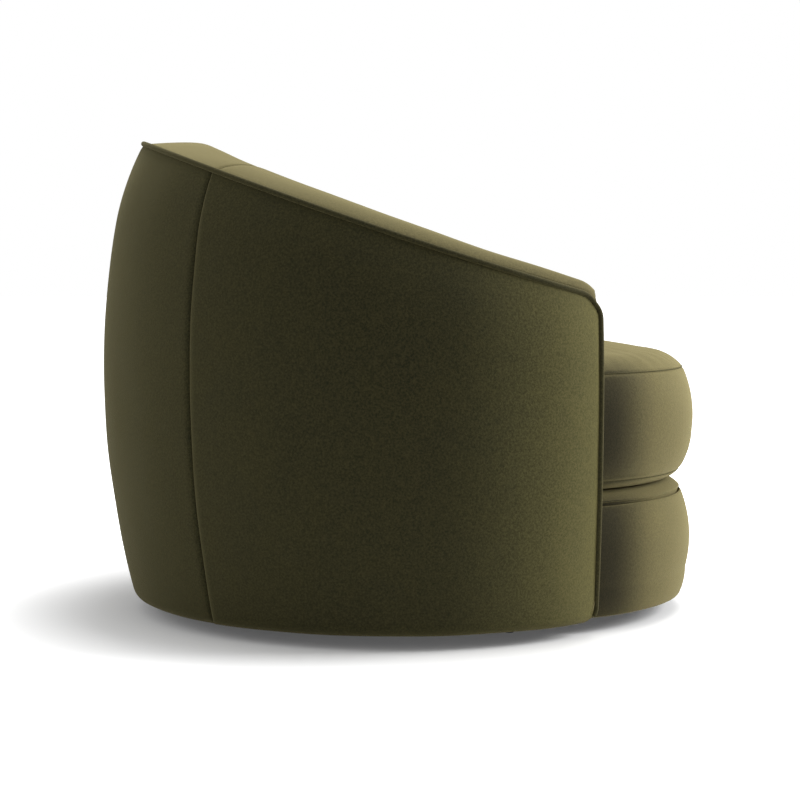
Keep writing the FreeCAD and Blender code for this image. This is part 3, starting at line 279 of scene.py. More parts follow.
def painted_light_group():
    """Painted light and shade along the depth: a ramp over the object's own Y scales the colour of
    upright faces, while faces that look up keep theirs.
    """
    number = "NodeSocketFloat"
    values = (("Start", -0.3), ("End", -0.4), ("First", 0.3), ("Last", 1.0))
    inputs = [(label, number, value) for label, value in values]
    group, enter, leave = new_group("painted light and shade", inputs, [("Value", number)])
    link = group.links.new
    spot = add(group, "ShaderNodeTexCoord")
    parts = add(group, "ShaderNodeSeparateXYZ")
    link(spot.outputs["Object"], parts.inputs[0])
    ramp = add(group, "ShaderNodeMapRange", interpolation_type="SMOOTHSTEP")
    link(parts.outputs["Y"], ramp.inputs["Value"])
    sockets = ("From Min", "From Max", "To Min", "To Max")
    for (label, _), socket in zip(values, sockets):
        link(enter.outputs[label], ramp.inputs[socket])
    facing = add(group, "ShaderNodeSeparateXYZ")
    link(spot.outputs["Normal"], facing.inputs[0])
    level = add(group, "ShaderNodeMath", operation="MULTIPLY")
    link(facing.outputs["Z"], level.inputs[0])
    link(facing.outputs["Z"], level.inputs[1])
    mix = add(group, "ShaderNodeMix", data_type="FLOAT")
    link(level.outputs[0], mix.inputs["Factor"])
    link(ramp.outputs["Result"], mix.inputs["A"])
    mix.inputs["B"].default_value = 1.0
    link(mix.outputs["Result"], leave.inputs["Value"])
    return group


PILE = pile_group()
PAINTED_LIGHT = painted_light_group()


def velvet(name, deep, pale, sheen=0.22, painted_ramp=(-0.3, -0.4, 1.0, 1.0)):
    """One velvet: its pile's two colours, its sheen, and its painted light and shade along the
    depth.
    """
    material = bpy.data.materials.new(name)
    material.use_nodes = True
    tree = material.node_tree
    shader = tree.nodes["Principled BSDF"]
    pile = add(tree, "ShaderNodeGroup")
    pile.node_tree = PILE
    pile.inputs["Deep"].default_value = deep
    pile.inputs["Pale"].default_value = pale
    # painted sheen: the colour is mixed towards twice the pale colour where the surface turns away
    # from the eye, so it is lighter at grazing angles
    grazing = add(tree, "ShaderNodeLayerWeight", Blend=0.32)
    painted_sheen = add(tree, "ShaderNodeMix", data_type="RGBA", blend_type="MIX")
    painted_sheen.inputs["B"].default_value = tuple(2.0 * value for value in pale[:3]) + (1,)
    tree.links.new(pile.outputs["Color"], painted_sheen.inputs["A"])
    tree.links.new(grazing.outputs["Facing"], painted_sheen.inputs["Factor"])
    shaded = add(tree, "ShaderNodeMix", data_type="RGBA", blend_type="MULTIPLY")
    shaded.inputs["Factor"].default_value = 1.0
    tree.links.new(painted_sheen.outputs["Result"], shaded.inputs["A"])
    # painted light and shade: the depth ramp multiplies the colour
    painted = add(tree, "ShaderNodeGroup")
    painted.node_tree = PAINTED_LIGHT
    for label, value in zip(("Start", "End", "First", "Last"), painted_ramp):
        painted.inputs[label].default_value = value
    tree.links.new(painted.outputs["Value"], shaded.inputs["B"])
    tree.links.new(shaded.outputs["Result"], shader.inputs["Base Color"])
    tree.links.new(pile.outputs["Roughness"], shader.inputs["Roughness"])
    lift = add(tree, "ShaderNodeBump", Strength=0.35, Distance=0.0006)
    tree.links.new(pile.outputs["Height"], lift.inputs["Height"])
    tree.links.new(lift.outputs["Normal"], shader.inputs["Normal"])
    shader.inputs["Sheen Weight"].default_value = sheen
    shader.inputs["Sheen Roughness"].default_value = 0.4
    shader.inputs["Sheen Tint"].default_value = (0.62, 0.55, 0.30, 1)
    shader.inputs["Specular IOR Level"].default_value = 0.15
    return material


# painted light and shade: one velvet in two copies, a darker, shaded copy for the outer covers and
# the piping, and a lighter, lit copy for the pads and the seat
SHADED_OUTER_PILE = (0.0108, 0.0112, 0.0034, 1), (0.0405, 0.0360, 0.0128, 1)
LIT_INNER_PILE = (0.034, 0.030, 0.012, 1), (0.094, 0.080, 0.034, 1)
SHADED_CORD_PILE = (0.012, 0.012, 0.004, 1), (0.040, 0.035, 0.013, 1)
# painted light: the outer covers' upright faces grow lighter towards the arm front, from 0.95 to
# 2.3 times their colour
OLIVE_SHADED = velvet("olive velvet shaded copy", *SHADED_OUTER_PILE, painted_ramp=(-0.05, -0.30, 0.95, 2.3))
OLIVE_PAD_LIT = velvet("olive pad velvet lit copy", *LIT_INNER_PILE)
# painted shade: the seat's upright sides are darkened to 0.22 of their colour just ahead of the arm
# fronts, easing back to full 80 mm further on
OLIVE_SEAT_LIT_ARM_SHADE = velvet("olive seat velvet lit copy with painted arm shade", *LIT_INNER_PILE, painted_ramp=(-0.312, -0.392, 0.22, 1.05))
OLIVE_CORD_SHADED = velvet("olive piping velvet shaded copy", *SHADED_CORD_PILE, sheen=0.2)
print("velvets", OLIVE_SHADED.name, OLIVE_SEAT_LIT_ARM_SHADE.name, OLIVE_CORD_SHADED.name)


def dress(piece, body, material, replaced=()):
    """Gives a finished piece its cloth, its body and the solids that it stands for."""
    piece.data.materials.clear()
    piece.data.materials.append(material)
    if replaced:
        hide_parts(*replaced)
    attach(piece, body)
    return piece


# %% [markdown]
# Each side cover is sewn to the back cover at one upright seam and ends at the piping, both along
# the top and down the arm front. The arm's upper corner is rounded. The cover is laid out as a
# grid from the seam to the front and from the lower edge to the top, and the grid's corner squares
# are then pressed into round corners, which keeps the rows flowing along the edge.

# %% The outer covers
CORNER, FOOT = 0.030, 0.024  # radii of the arm front's upper and lower corner
EDGE_SLACK = 0.002  # how far behind the piping's line an edge begins to roll
INNER_FACE = SKIN - 0.001  # the cover's inner face, just short of its full thickness
FRONT_ROLL, FRONT_ROLL_WIDTH = 0.007, 0.08
COVER_WAVE, COVER_LIFT = 9.0, 0.0012


def rounded(forward, height, lift=0.0, low=FLOOR_GAP):
    """Presses the grid's square corners at the arm front into round ones."""
    past = forward - (ARM_FRONT - CORNER)
    base = top_line(forward) + lift - CORNER
    above = height - base
    if past > 0 and above > 0:
        pressed = max(past, above) / math.hypot(past, above)
        return ARM_FRONT - CORNER + past * pressed, base + above * pressed
    past = forward - (ARM_FRONT - FOOT)
    below = low + FOOT - height
    if past > 0 and below > 0:
        pressed = max(past, below) / math.hypot(past, below)
        return ARM_FRONT - FOOT + past * pressed, low + FOOT - below * pressed
    return forward, height


def wall_spot(share, up):
    """Distance ahead and height for a place of the side cover's grid."""
    height = 0.3
    forward = 0.0
    for step in range(8):
        radius = barrel(height) - rolled(height, top_line(forward))
        front = math.degrees(math.acos(min(1.0, ARM_FRONT / radius)))
        forward = radius * math.cos(math.radians(SEAM_ANGLE + (front - SEAM_ANGLE) * share))
        height = FLOOR_GAP + (top_line(forward) - FLOOR_GAP) * up
    return forward, height


def front_roll(forward):
    """The cover turns in a little before it meets the arm front."""
    return FRONT_ROLL * max(0.0, 1 - (ARM_FRONT - forward) / FRONT_ROLL_WIDTH) ** 2


def on_wall(forward, height, inset, side):
    """A point on the wall, or so far inside it, on the chair's left (1) or right (-1)."""
    radius = barrel(height) - rolled(height, top_line(forward)) - inset - front_roll(forward)
    grazing = math.sqrt(max(0.0, radius * radius - forward * forward))
    return Vector((side * grazing, -forward, height))


def hem(height, inset):
    """The cover's lower edge turns under; elsewhere the inset stays as it is."""
    low_away = height - FLOOR_GAP
    if low_away >= SKIN:
        return inset
    turn = 1 - low_away / SKIN
    return max(inset, SKIN * 0.85 * (1 - math.sqrt(max(0.0, 1 - turn * turn))))


def side_cover(side):
    outlines = []
    columns, rows = 110, 84
    seam = math.radians(SEAM_ANGLE)
    for column in range(columns + 1):
        share = eased(column / columns)
        outline = []
        inner = []
        for row in range(rows + 1):
            up = eased(row / rows)
            forward, height = rounded(*wall_spot(share, up))
            seam_away = abs(seam - math.acos(max(-1, min(1, forward / barrel(height)))))
            away = min(
                top_line(forward) - height + EDGE_SLACK,
                ARM_FRONT - forward + EDGE_SLACK,
                seam_away * SHELL_RADIUS,
            )
            inset = edge_roll(away)
            if up > 0.5 and share > 0.5:
                past = forward - (ARM_FRONT - CORNER)
                above = height - (top_line(ARM_FRONT - CORNER) - CORNER)
                if past > 0 and above > 0:
                    inset = max(inset, edge_roll(max(0.0, CORNER - math.hypot(past, above))))
            outline.append(on_wall(forward, height, hem(height, inset), side))
            inner.append(on_wall(forward, height, INNER_FACE, side))
        outlines.append(outline + list(reversed(inner)))
    return cover_mesh("side_cover_" + ("left" if side > 0 else "right"), outlines)


def back_cover():
    outlines = []
    columns, rows = 96, 84
    half = 180 - SEAM_ANGLE
    for column in range(columns + 1):
        angle = 180 - half + 2 * half * eased(column / columns, 0.35)
        top = pipe_place(angle)[1]
        outline = []
        inner = []
        for row in range(rows + 1):
            height = FLOOR_GAP + (top - FLOOR_GAP) * eased(row / rows)
            seam_away = math.radians(half - abs(angle - 180)) * SHELL_RADIUS
            inset = edge_roll(min(top - height + EDGE_SLACK, seam_away))
            radius = barrel(height) - rolled(height, top)
            outline.append(place(angle, radius - hem(height, inset), height))
            inner.append(place(angle, radius - INNER_FACE, height))
        outlines.append(outline + list(reversed(inner)))
    return cover_mesh("back_cover", outlines)


covers = {}
for side, word in ((1, "left"), (-1, "right")):
    cover = apply_all(side_cover(side))
    soft_waves(cover, COVER_WAVE, COVER_LIFT, seed=3.0 * side)
    dress(cover, "chair", OLIVE_SHADED, ["outer_side_panel_" + word])
    covers[word] = cover
covers["back"] = soft_waves(apply_all(back_cover()), COVER_WAVE, COVER_LIFT, seed=9.0)
dress(covers["back"], "chair", OLIVE_SHADED, ["outer_back_panel"])
print("cover faces", {word: len(cover.data.polygons) for word, cover in covers.items()})

# %% [markdown]
# The piping is a cord wrapped in a strip of the same velvet, painted in its darker, shaded copy. It
# lies in the groove between the outer cover and the inner padding, from the foot of one arm, over
# the back, to the other foot. Its line is read from the covers' own edge, so that it can't leave
# the groove.

# %% The piping
PIPE_FOOT = 0.985  # the share of the arm front's height that the piping runs down
PIPE_STEP = 0.003


def edge_line(side):
    """The edge of one side cover: along the top from the seam, then down the arm front."""
    points = []
    for step in range(121):
        forward, height = rounded(*wall_spot(step / 120, 1.0))
        points.append(on_wall(forward, height, 0.0, side))
    for step in range(1, 101):
        forward, height = rounded(*wall_spot(1.0, 1.0 - PIPE_FOOT * step / 100))
        points.append(on_wall(forward, height, 0.0, side))
    return points


def tube(name, points, radius, sides=14):
    """A round cord along a line of points, with closed ends."""
    rings = []
    for index, point in enumerate(points):
        following = points[min(index + 1, len(points) - 1)]
        ahead = (following - points[max(index - 1, 0)]).normalized()
        outward = Vector((point.x, point.y, 0.0)).normalized()
        outward = (outward - ahead * outward.dot(ahead)).normalized()
        upward = ahead.cross(outward)
        ring = []
        for count in range(sides):
            turn = 2 * math.pi * count / sides
            around = outward * math.cos(turn) + upward * math.sin(turn)
            ring.append(point + around * radius)
        rings.append(ring)
    return cover_mesh(name, rings, smooth=0)


def respaced(points, step):
    """The same line with even spacing."""
    lengths = [0.0]
    for one, two in zip(points, points[1:]):
        lengths.append(lengths[-1] + (two - one).length)
    count = max(2, int(lengths[-1] / step))
    made = []
    index = 0
    for number in range(count + 1):
        goal = lengths[-1] * number / count
        while index < len(points) - 2 and lengths[index + 1] < goal:
            index += 1
        span = max(1e-9, lengths[index + 1] - lengths[index])
        made.append(points[index].lerp(points[index + 1], (goal - lengths[index]) / span))
    return made


back_line = [place(angle, *pipe_place(angle)) for angle in range(131, 230)]
line = list(reversed(edge_line(1))) + back_line + edge_line(-1)
line = respaced(line, PIPE_STEP)
piping = tube("piping_cord", line, PIPE)
dress(piping, "chair", OLIVE_CORD_SHADED, ["piping"])
print("piping length", round(sum((b - a).length for a, b in zip(line, line[1:])), 3))

# %% [markdown]
# The inner padding swells over the top of the wall and falls to the seat. On the arms its outline
# is carried from the back seam to the flat arm front, from the piping on the outside to the
# round of the seat on the inside, and the arm's upper corner is pressed round once more.

# %% The inner pads
APEX_SHARE = 0.48  # how far in the crown is highest, as a share of the wall's thickness
SHOULDER = 0.72  # below 1 the shoulder is squarer than a round one
GROOVE = 0.0045  # the crown starts this far in from the piping's middle line
SEAM_DIP, SEAM_DIP_WIDTH = 0.004, 0.014
PIPE_DIP, PIPE_DIP_WIDTH = 0.004, 0.012
TUCK, TUCK_DROP = 0.03, 0.02  # how deep the padding's hidden back stands inside the wall
SEAM_REACH = 0.42  # metres of seam distance per radian along the padding
DEEP_FROM = 0.212  # from here forward the arm pads run down to the arm front's foot
FRONT_BAND = 0.0035  # the outlines this near to the front fill out to the piping
CROWN_FOOT, CROWN_LIFT = 0.004, 0.015  # the corner of the crown is lifted over the piping's
FILLED, HIDDEN = 0.0050, 0.0160  # the pad's outer side inside the wall, at the front and behind


def reach(angle):
    """How far out the seat's round reaches, from the swivel."""
    turn = math.radians(angle)
    grazing = SEAT_CENTRE * math.sin(turn)
    return SEAT_CENTRE * math.cos(turn) + math.sqrt(CAVITY * CAVITY - grazing * grazing)


def lean_of(angle):
    """How much farther out the padding's inner side stands at its top than at the seat."""
    return LEAN * ((1 - math.cos(math.radians(angle))) / 2) ** 2


def pad_outline(outer, inner, foot, seam_away, wall=None):
    """One closed outline of the padding, from the piping over the crown and down to the seat."""
    dip = edge_roll(seam_away, SEAM_DIP_WIDTH, SEAM_DIP)
    flat = Vector((inner.x - outer.x, inner.y - outer.y, 0.0))
    thick = flat.length
    inward = flat / thick
    apex_run = APEX_SHARE * thick
    crown = crown_line(-(outer + inward * apex_run).y) - outer.z
    turn = thick - apex_run
    top = outer.z + crown
    points = []
    for step in range(19):
        run = GROOVE + (apex_run - GROOVE) * step / 18
        height = top - crown * (1 - run / apex_run) ** 2
        lowered = max(edge_roll(run, PIPE_DIP_WIDTH, PIPE_DIP), dip)
        points.append(outer + inward * run + Vector((0, 0, height - outer.z - lowered)))
    for step in range(1, 17):
        bend = math.pi / 2 * step / 16
        run = apex_run + turn * math.sin(bend) ** SHOULDER - dip * math.sin(bend)
        height = top - turn + turn * math.cos(bend) ** SHOULDER - dip * math.cos(bend)
        points.append(outer + inward * run + Vector((0, 0, height - outer.z)))
    start = points[-1]
    end = foot - inward * dip
    for step in range(1, 31):
        points.append(start.lerp(end, step / 30))
    inside = Vector((outer.x, outer.y, 0)) + inward * TUCK

    def back_of(height):
        return wall(height) if wall else Vector((inside.x, inside.y, height))

    low = end.z
    for step in range(1, 7):
        points.append(end.lerp(back_of(low), step / 6))
    for step in range(1, 21):
        points.append(back_of(low + (outer.z - TUCK_DROP - low) * step / 20))
    points.append(outer + inward * (0.0055 if wall else 0.012) + Vector((0, 0, -0.012)))
    points.append(outer + inward * GROOVE + Vector((0, 0, -PIPE)))
    return points


def back_pad():
    outlines = []
    half = 180 - SEAM_ANGLE + SEAM_LAP
    for column in range(89):
        angle = 180 - half + 2 * half * eased(column / 88, 0.35)
        away = math.radians(half - abs(angle - 180)) * SEAM_REACH
        outer = place(angle, *pipe_place(angle))
        inner = place(angle, reach(angle) + lean_of(angle), outer.z)
        foot = place(angle, reach(angle), RING_TOP)
        outlines.append(pad_outline(outer, inner, foot, away))
    return cover_mesh("back_pad", outlines)


def inset_ring(ring, inset, back):
    """The arm front's outline drawn in by an even width and set back, for a rounded edge."""
    area = sum(a.x * b.z - b.x * a.z for a, b in zip(ring, ring[1:] + ring[:1]))
    turn = 1 if area > 0 else -1
    made = []
    for index, point in enumerate(ring):
        along = ring[(index + 1) % len(ring)] - ring[index - 1]
        normal = Vector((-along.z, 0, along.x)) * turn
        made.append(point + normal.normalized() * inset + Vector((0, back, 0)))
    return made


def wall_sides(forward, height):
    """How far the wall's inner and outer faces stand from the middle plane at one place."""
    inner = math.sqrt(CAVITY**2 - (forward - SEAT_CENTRE) ** 2)
    return inner, on_wall(forward, min(height, top_line(forward)), 0.0, 1).x


def arm_pad(side):
    """The arm pad's outlines, with its corners pressed round and its front edge rounded off."""
    outlines = []
    seam_inner = place(SEAM_ANGLE, reach(SEAM_ANGLE), 0)
    seam_turn = math.degrees(math.atan2(seam_inner.x, -(seam_inner.y + SEAT_CENTRE)))
    front_turn = math.degrees(math.acos((ARM_FRONT - SEAT_CENTRE) / CAVITY))
    columns = 120
    for column in range(columns + 1):
        share = eased(column / columns)
        forward, height = wall_spot(share, 1.0)
        outer = on_wall(forward, height, 0.0, 1)
        turn = seam_turn + (front_turn - seam_turn) * share
        angle = math.degrees(math.atan2(outer.x, -outer.y))
        foot = place(turn, CAVITY, RING_TOP, SEAT_CENTRE)
        inner = foot + Vector((foot.x, foot.y, 0)).normalized() * lean_of(angle)
        inner.z = outer.z
        away = math.radians(SEAM_ANGLE - angle) * SEAM_REACH
        deep = forward > DEEP_FROM
        foot.z = FACING_LOW if deep else RING_TOP
        inset = FILLED if forward > ARM_FRONT - FRONT_BAND else HIDDEN

        def wall(level, forward=forward, inset=inset):
            return on_wall(forward, level, inset, 1)

        outlines.append(pad_outline(outer, inner, foot, away, wall if deep else None))
    made = []
    for outline in outlines:
        ring = []
        edge = outline[0].z + CROWN_FOOT
        for point in outline:
            lift = max(0.0, min(CROWN_LIFT, point.z - edge))
            forward, height = rounded(-point.y, point.z, lift, FACING_LOW)
            grazing = point.x
            if -point.y > forward:
                inner_old, outer_old = wall_sides(-point.y, point.z)
                inner_new, outer_new = wall_sides(forward, height)
                share = max(0.0, min(1.0, (point.x - inner_old) / (outer_old - inner_old)))
                grazing += (inner_new - inner_old) * (1 - share)
                grazing += (outer_new - outer_old) * share
            ring.append(Vector((side * grazing, -forward, height)))
        made.append(ring)
    face = made.pop()
    for inset, ahead in ((0.0, 0.005), (0.0006, 0.0025), (0.0025, 0.0006), (0.005, 0.0)):
        made.append(inset_ring(face, inset, ahead))
    return made


pads = {}
for side, word in ((1, "left"), (-1, "right")):
    pad = apply_all(cover_mesh("arm_pad_" + word, arm_pad(side)))
    pads[word] = soft_waves(pad, 8.0, 0.0015, seed=21.0 * side)
    dress(pad, "chair", OLIVE_PAD_LIT, ["inner_arm_pad_" + word])
pads["back"] = soft_waves(apply_all(back_pad()), 8.0, 0.002, seed=33.0)
dress(pads["back"], "chair", OLIVE_PAD_LIT, ["inner_back_pad"])
print("pad faces", {word: len(pad.data.polygons) for word, pad in pads.items()})

# %% [markdown]
# Under the cushion the seat base is a padded band with a deck sewn on top. Both are turned about
# the seat's own middle, which lies ahead of the swivel, from a half section of soft arcs.

# %% The seat base and its deck
def arc_through(start, middle, end, count):
    """Places along the circle through three, without the first."""
    ax, ay = start
    bx, by = middle
    cx, cy = end
    a2, b2, c2 = ax**2 + ay**2, bx**2 + by**2, cx**2 + cy**2
    d = 2 * (ax * (by - cy) + bx * (cy - ay) + cx * (ay - by))
    ux = (a2 * (by - cy) + b2 * (cy - ay) + c2 * (ay - by)) / d
    uy = (a2 * (cx - bx) + b2 * (ax - cx) + c2 * (bx - ax)) / d
    first = math.atan2(ay - uy, ax - ux)
    last = math.atan2(cy - uy, cx - ux)
    while last - first > math.pi:
        last -= 2 * math.pi
    while last - first < -math.pi:
        last += 2 * math.pi
    radius = math.hypot(ax - ux, ay - uy)
    turns = [first + (last - first) * k / count for k in range(1, count + 1)]
    return [(ux + radius * math.cos(turn), uy + radius * math.sin(turn)) for turn in turns]


def turned_form(name, places, half=180, columns=180, smooth=1):
    """A half section turned about the seat's middle, all the way or so far to each side."""
    full = half == 180
    count = columns if full else columns + 1
    outlines = []
    for column in range(count):
        turn = -half + 2 * half * column / columns
        outlines.append([place(turn, radius, height, SEAT_CENTRE) for radius, height in places])
    return cover_mesh(name, outlines, closed=full, smooth=smooth)


BAND, BAND_INNER = 0.338, 0.321
band_places = [(0.3225, 0.1885), (0.3245, 0.187)]
band_places += arc_through((0.3245, 0.187), (BAND, 0.118), (0.3320, 0.066), 16)
band_places += arc_through((0.3320, 0.066), (0.3290, 0.0405), (0.3235, 0.0250), 8)
band_places += [(BAND_INNER + 0.0003, 0.0235)]
band_places += [(BAND_INNER, 0.030 + (0.1885 - 0.030) * k / 9) for k in range(10)]
band = apply_all(turned_form("seat_band", band_places, half=68, columns=96))
soft_waves(band, 10.0, 0.001, seed=5.0)
dress(band, "chair", OLIVE_SEAT_LIT_ARM_SHADE, ["seat_base_band"])
deck_places = [(0.0003, 0.187), (0.298, 0.187), (0.298, 0.1785), (0.316, 0.1785), (0.3195, 0.1892)]
deck_places += arc_through((0.3195, 0.1892), (0.3238, 0.1905), (0.3222, 0.1935), 3)
deck_places += arc_through((0.3222, 0.1935), (0.3125, 0.2015), (0.284, 0.207), 10)
deck_places += [(0.284 * (1 - k / 10), 0.207) for k in range(1, 10)]
deck_places += [(radius, 0.207) for radius in (0.005, 0.0012, 0.0006, 0.0003)]
deck = apply_all(turned_form("seat_deck_cover", deck_places, columns=120))
dress(deck, "chair", OLIVE_SEAT_LIT_ARM_SHADE, ["seat_deck"])
print("band faces", len(band.data.polygons))

# %% [markdown]
# The cushion is a round box of feather and foam: a crowned top and a flat underside, each sewn to
# the side wall with a seam. A cloth simulation blows it up while the seams are held, so the cloth
# swells between them. Only the share of the swelling that the seat has room for is kept, and the
# seams are then drawn in. A thin ring in the darker, shaded copy of the velvet is sunk along each
# seam, painted shade that draws the seam as a dark line.

# %% The cushion
LOW_SEAM, TOP_SEAM = (0.3215, 0.223), (0.3255, 0.383)
SEAM_WIDTH, PINCH = 0.004, 0.0016  # how wide a seam draws the cloth in, and how deep
CUSHION_REACH, CUSHION_LOW, CUSHION_HIGH = 0.343, 0.2075, 0.4335  # the room that it has
FLAT_BELOW = 0.23  # the cushion's underside has no waves
THREAD = 0.0009  # the seam thread's radius
cushion_places = [(0.0005, 0.2085), (0.292, 0.2085)]
cushion_places += arc_through((0.292, 0.2085), (0.311, 0.2125), LOW_SEAM, 6)
cushion_places += arc_through(LOW_SEAM, (0.3345, 0.250), (0.3405, 0.285), 8)
cushion_places += arc_through((0.3405, 0.285), (0.3400, 0.335), TOP_SEAM, 14)
cushion_places += arc_through(TOP_SEAM, (0.311, 0.398), (0.270, 0.4105), 10)
cushion_places += arc_through((0.270, 0.4105), (0.131, 0.4245), (0.0005, 0.4285), 14)
cushion = turned_form("cushion", cushion_places, columns=144, smooth=0)


def seam_share(point):
    """1 on a seam of the cushion and 0 away from it."""
    out = math.hypot(point.x, point.y + SEAT_CENTRE)
    near = min(math.hypot(out - r, point.z - z) for r, z in (LOW_SEAM, TOP_SEAM))
    return max(0.0, 1 - near / SEAM_WIDTH)


def swell(piece, pressure, cap, held, frames=20):
    """Blows a closed mesh up as cloth, some of it held, and keeps the share of it that fits."""
    remesh = piece.modifiers.new("even", "REMESH")
    remesh.mode = "VOXEL"
    remesh.voxel_size = 0.006
    apply_all(piece)
    rest = [vertex.co.copy() for vertex in piece.data.vertices]
    group = piece.vertex_groups.new(name="held")
    for vertex in piece.data.vertices:
        share = held(vertex.co)
        if share > 0:
            group.add([vertex.index], min(1.0, share), "REPLACE")
    cloth = piece.modifiers.new("cloth", "CLOTH")
    settings = cloth.settings
    settings.quality = 4
    settings.mass = 0.3
    settings.tension_stiffness = 12
    settings.compression_stiffness = 12
    settings.shear_stiffness = 6
    settings.bending_stiffness = 0.4
    settings.use_pressure = True
    settings.uniform_pressure_force = pressure
    settings.vertex_group_mass = "held"
    settings.pin_stiffness = 1.0
    settings.effector_weights.gravity = 0.0
    cloth.collision_settings.use_collision = False
    scene = bpy.context.scene
    for frame_number in range(1, frames + 1):
        scene.frame_set(frame_number)
    graph = bpy.context.evaluated_depsgraph_get()
    moved = [vertex.co.copy() for vertex in piece.evaluated_get(graph).data.vertices]
    piece.modifiers.clear()
    scene.frame_set(1)
    farthest = max((now - was).length for was, now in zip(rest, moved))
    part = min(1.0, cap / farthest)
    for vertex, was, now in zip(piece.data.vertices, rest, moved):
        vertex.co = was + (now - was) * part
    print(piece.name, "swelled by", round(farthest, 4), "share kept", round(part, 3))
    return piece


cushion = swell(cushion, 2.0, 0.008, seam_share)
smoother = cushion.modifiers.new("smoother", "SUBSURF")
smoother.levels = 1
apply_all(cushion)
cushion_normals = [vertex.normal.copy() for vertex in cushion.data.vertices]
for vertex, normal in zip(cushion.data.vertices, cushion_normals):
    share = seam_share(vertex.co)
    out = Vector((vertex.co.x, vertex.co.y + SEAT_CENTRE, 0))
    if share > 0:
        vertex.co -= normal * PINCH * share
    if out.length > CUSHION_REACH:
        vertex.co -= out.normalized() * (out.length - CUSHION_REACH)
    vertex.co.z = max(CUSHION_LOW, min(CUSHION_HIGH, vertex.co.z))
cushion.data.update()
soft_waves(cushion, 7.0, 0.0014, seed=41.0, keep=lambda co: 1.0 if co.z > FLAT_BELOW else 0.0)
dress(cushion, "cushion", OLIVE_SEAT_LIT_ARM_SHADE, ["seat_cushion"])
print("cushion faces", len(cushion.data.polygons))


def dark_seam_ring(name, radius, height):
    """The sewn line round the cushion: a thin ring sunk in the cloth, in the darker, shaded velvet
    copy, painted shade for the seam's crease.
    """
    section = []
    for side in range(6):
        bend = math.pi * side / 3
        section.append((radius + THREAD * math.cos(bend), height + THREAD * math.sin(bend)))
    outlines = []
    for turn in range(0, 360, 2):
        outlines.append([place(turn, out, level, SEAT_CENTRE) for out, level in section])
    dark_ring = cover_mesh(name, outlines, closed=True, smooth=0)
    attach(dark_ring, "cushion")
    # painted shade: the ring takes the darker, shaded copy of the velvet
    dark_ring.data.materials.append(OLIVE_CORD_SHADED)
    return dark_ring


def seam_reach(height, away):
    """How far out the finished cushion reaches at a seam's height."""
    near = [v.co for v in cushion.data.vertices if abs(v.co.z - height) < away]
    reaches = sorted(math.hypot(co.x, co.y + SEAT_CENTRE) for co in near)
    return reaches[len(reaches) // 2]


for word, (_, height) in (("low", LOW_SEAM), ("top", TOP_SEAM)):
    dark_seam_ring("cushion_seam_" + word, seam_reach(height, 0.0015), height)

# %% [markdown]
# What is left of the CAD model keeps its own shape: plywood inside, black webbing, a dust cloth
# underneath, and the swivel with its bars. Two more groups give the wood its grain and the metal
# its powder coat, and each solid takes a material with its own values.

# %% Wood, webbing and metal
def plain_group(name, scale, stretch, low, high, detail=6.0):
    """A pattern of two colours with its height and roughness, for wood, cloth and metal."""
    colour = "NodeSocketColor"
    number = "NodeSocketFloat"
    group, enter, leave = new_group(
        name,
        [
            ("Dark", colour, (0.1, 0.1, 0.1, 1)),
            ("Light", colour, (0.3, 0.3, 0.3, 1)),
            ("Scale", number, scale),
        ],
        [("Color", colour), ("Height", number), ("Roughness", number)],
    )
    link = group.links.new
    spot = add(group, "ShaderNodeTexCoord")
    longer = add(group, "ShaderNodeMapping")
    longer.inputs["Scale"].default_value = stretch
    pattern = add(group, "ShaderNodeTexNoise", Detail=detail, Roughness=0.6, Distortion=0.4)
    link(spot.outputs["Object"], longer.inputs["Vector"])
    link(longer.outputs["Vector"], pattern.inputs["Vector"])
    link(enter.outputs["Scale"], pattern.inputs["Scale"])
    mix = add(group, "ShaderNodeMix", data_type="RGBA")
    link(pattern.outputs["Fac"], mix.inputs["Factor"])
    link(enter.outputs["Dark"], mix.inputs["A"])
    link(enter.outputs["Light"], mix.inputs["B"])
    link(mix.outputs["Result"], leave.inputs["Color"])
    link(pattern.outputs["Fac"], leave.inputs["Height"])
    rough = add(group, "ShaderNodeMapRange")
    rough.inputs["To Min"].default_value = low
    rough.inputs["To Max"].default_value = high
    link(pattern.outputs["Fac"], rough.inputs["Value"])
    link(rough.outputs[0], leave.inputs["Roughness"])
    return group


GRAIN = plain_group("wood grain", 18.0, (1.0, 1.0, 14.0), 0.55, 0.85)
SPECKLE = plain_group("fine speckle", 900.0, (1.0, 1.0, 1.0), 0.35, 0.6, 3.0)


def grey(value):
    return (value, value, value, 1)


def finish(name, group, dark, light, scale, metal=0.0, bump=0.2):
    """A material whose colour, roughness and bump come from one shared pattern."""
    material = bpy.data.materials.new(name)
    material.use_nodes = True
    tree = material.node_tree
    shader = tree.nodes["Principled BSDF"]
    pattern = add(tree, "ShaderNodeGroup")
    pattern.node_tree = group
    pattern.inputs["Dark"].default_value = dark
    pattern.inputs["Light"].default_value = light
    pattern.inputs["Scale"].default_value = scale
    tree.links.new(pattern.outputs["Color"], shader.inputs["Base Color"])
    tree.links.new(pattern.outputs["Roughness"], shader.inputs["Roughness"])
    lift = add(tree, "ShaderNodeBump", Strength=bump, Distance=0.0003)
    tree.links.new(pattern.outputs["Height"], lift.inputs["Height"])
    tree.links.new(lift.outputs["Normal"], shader.inputs["Normal"])
    shader.inputs["Metallic"].default_value = metal
    return material


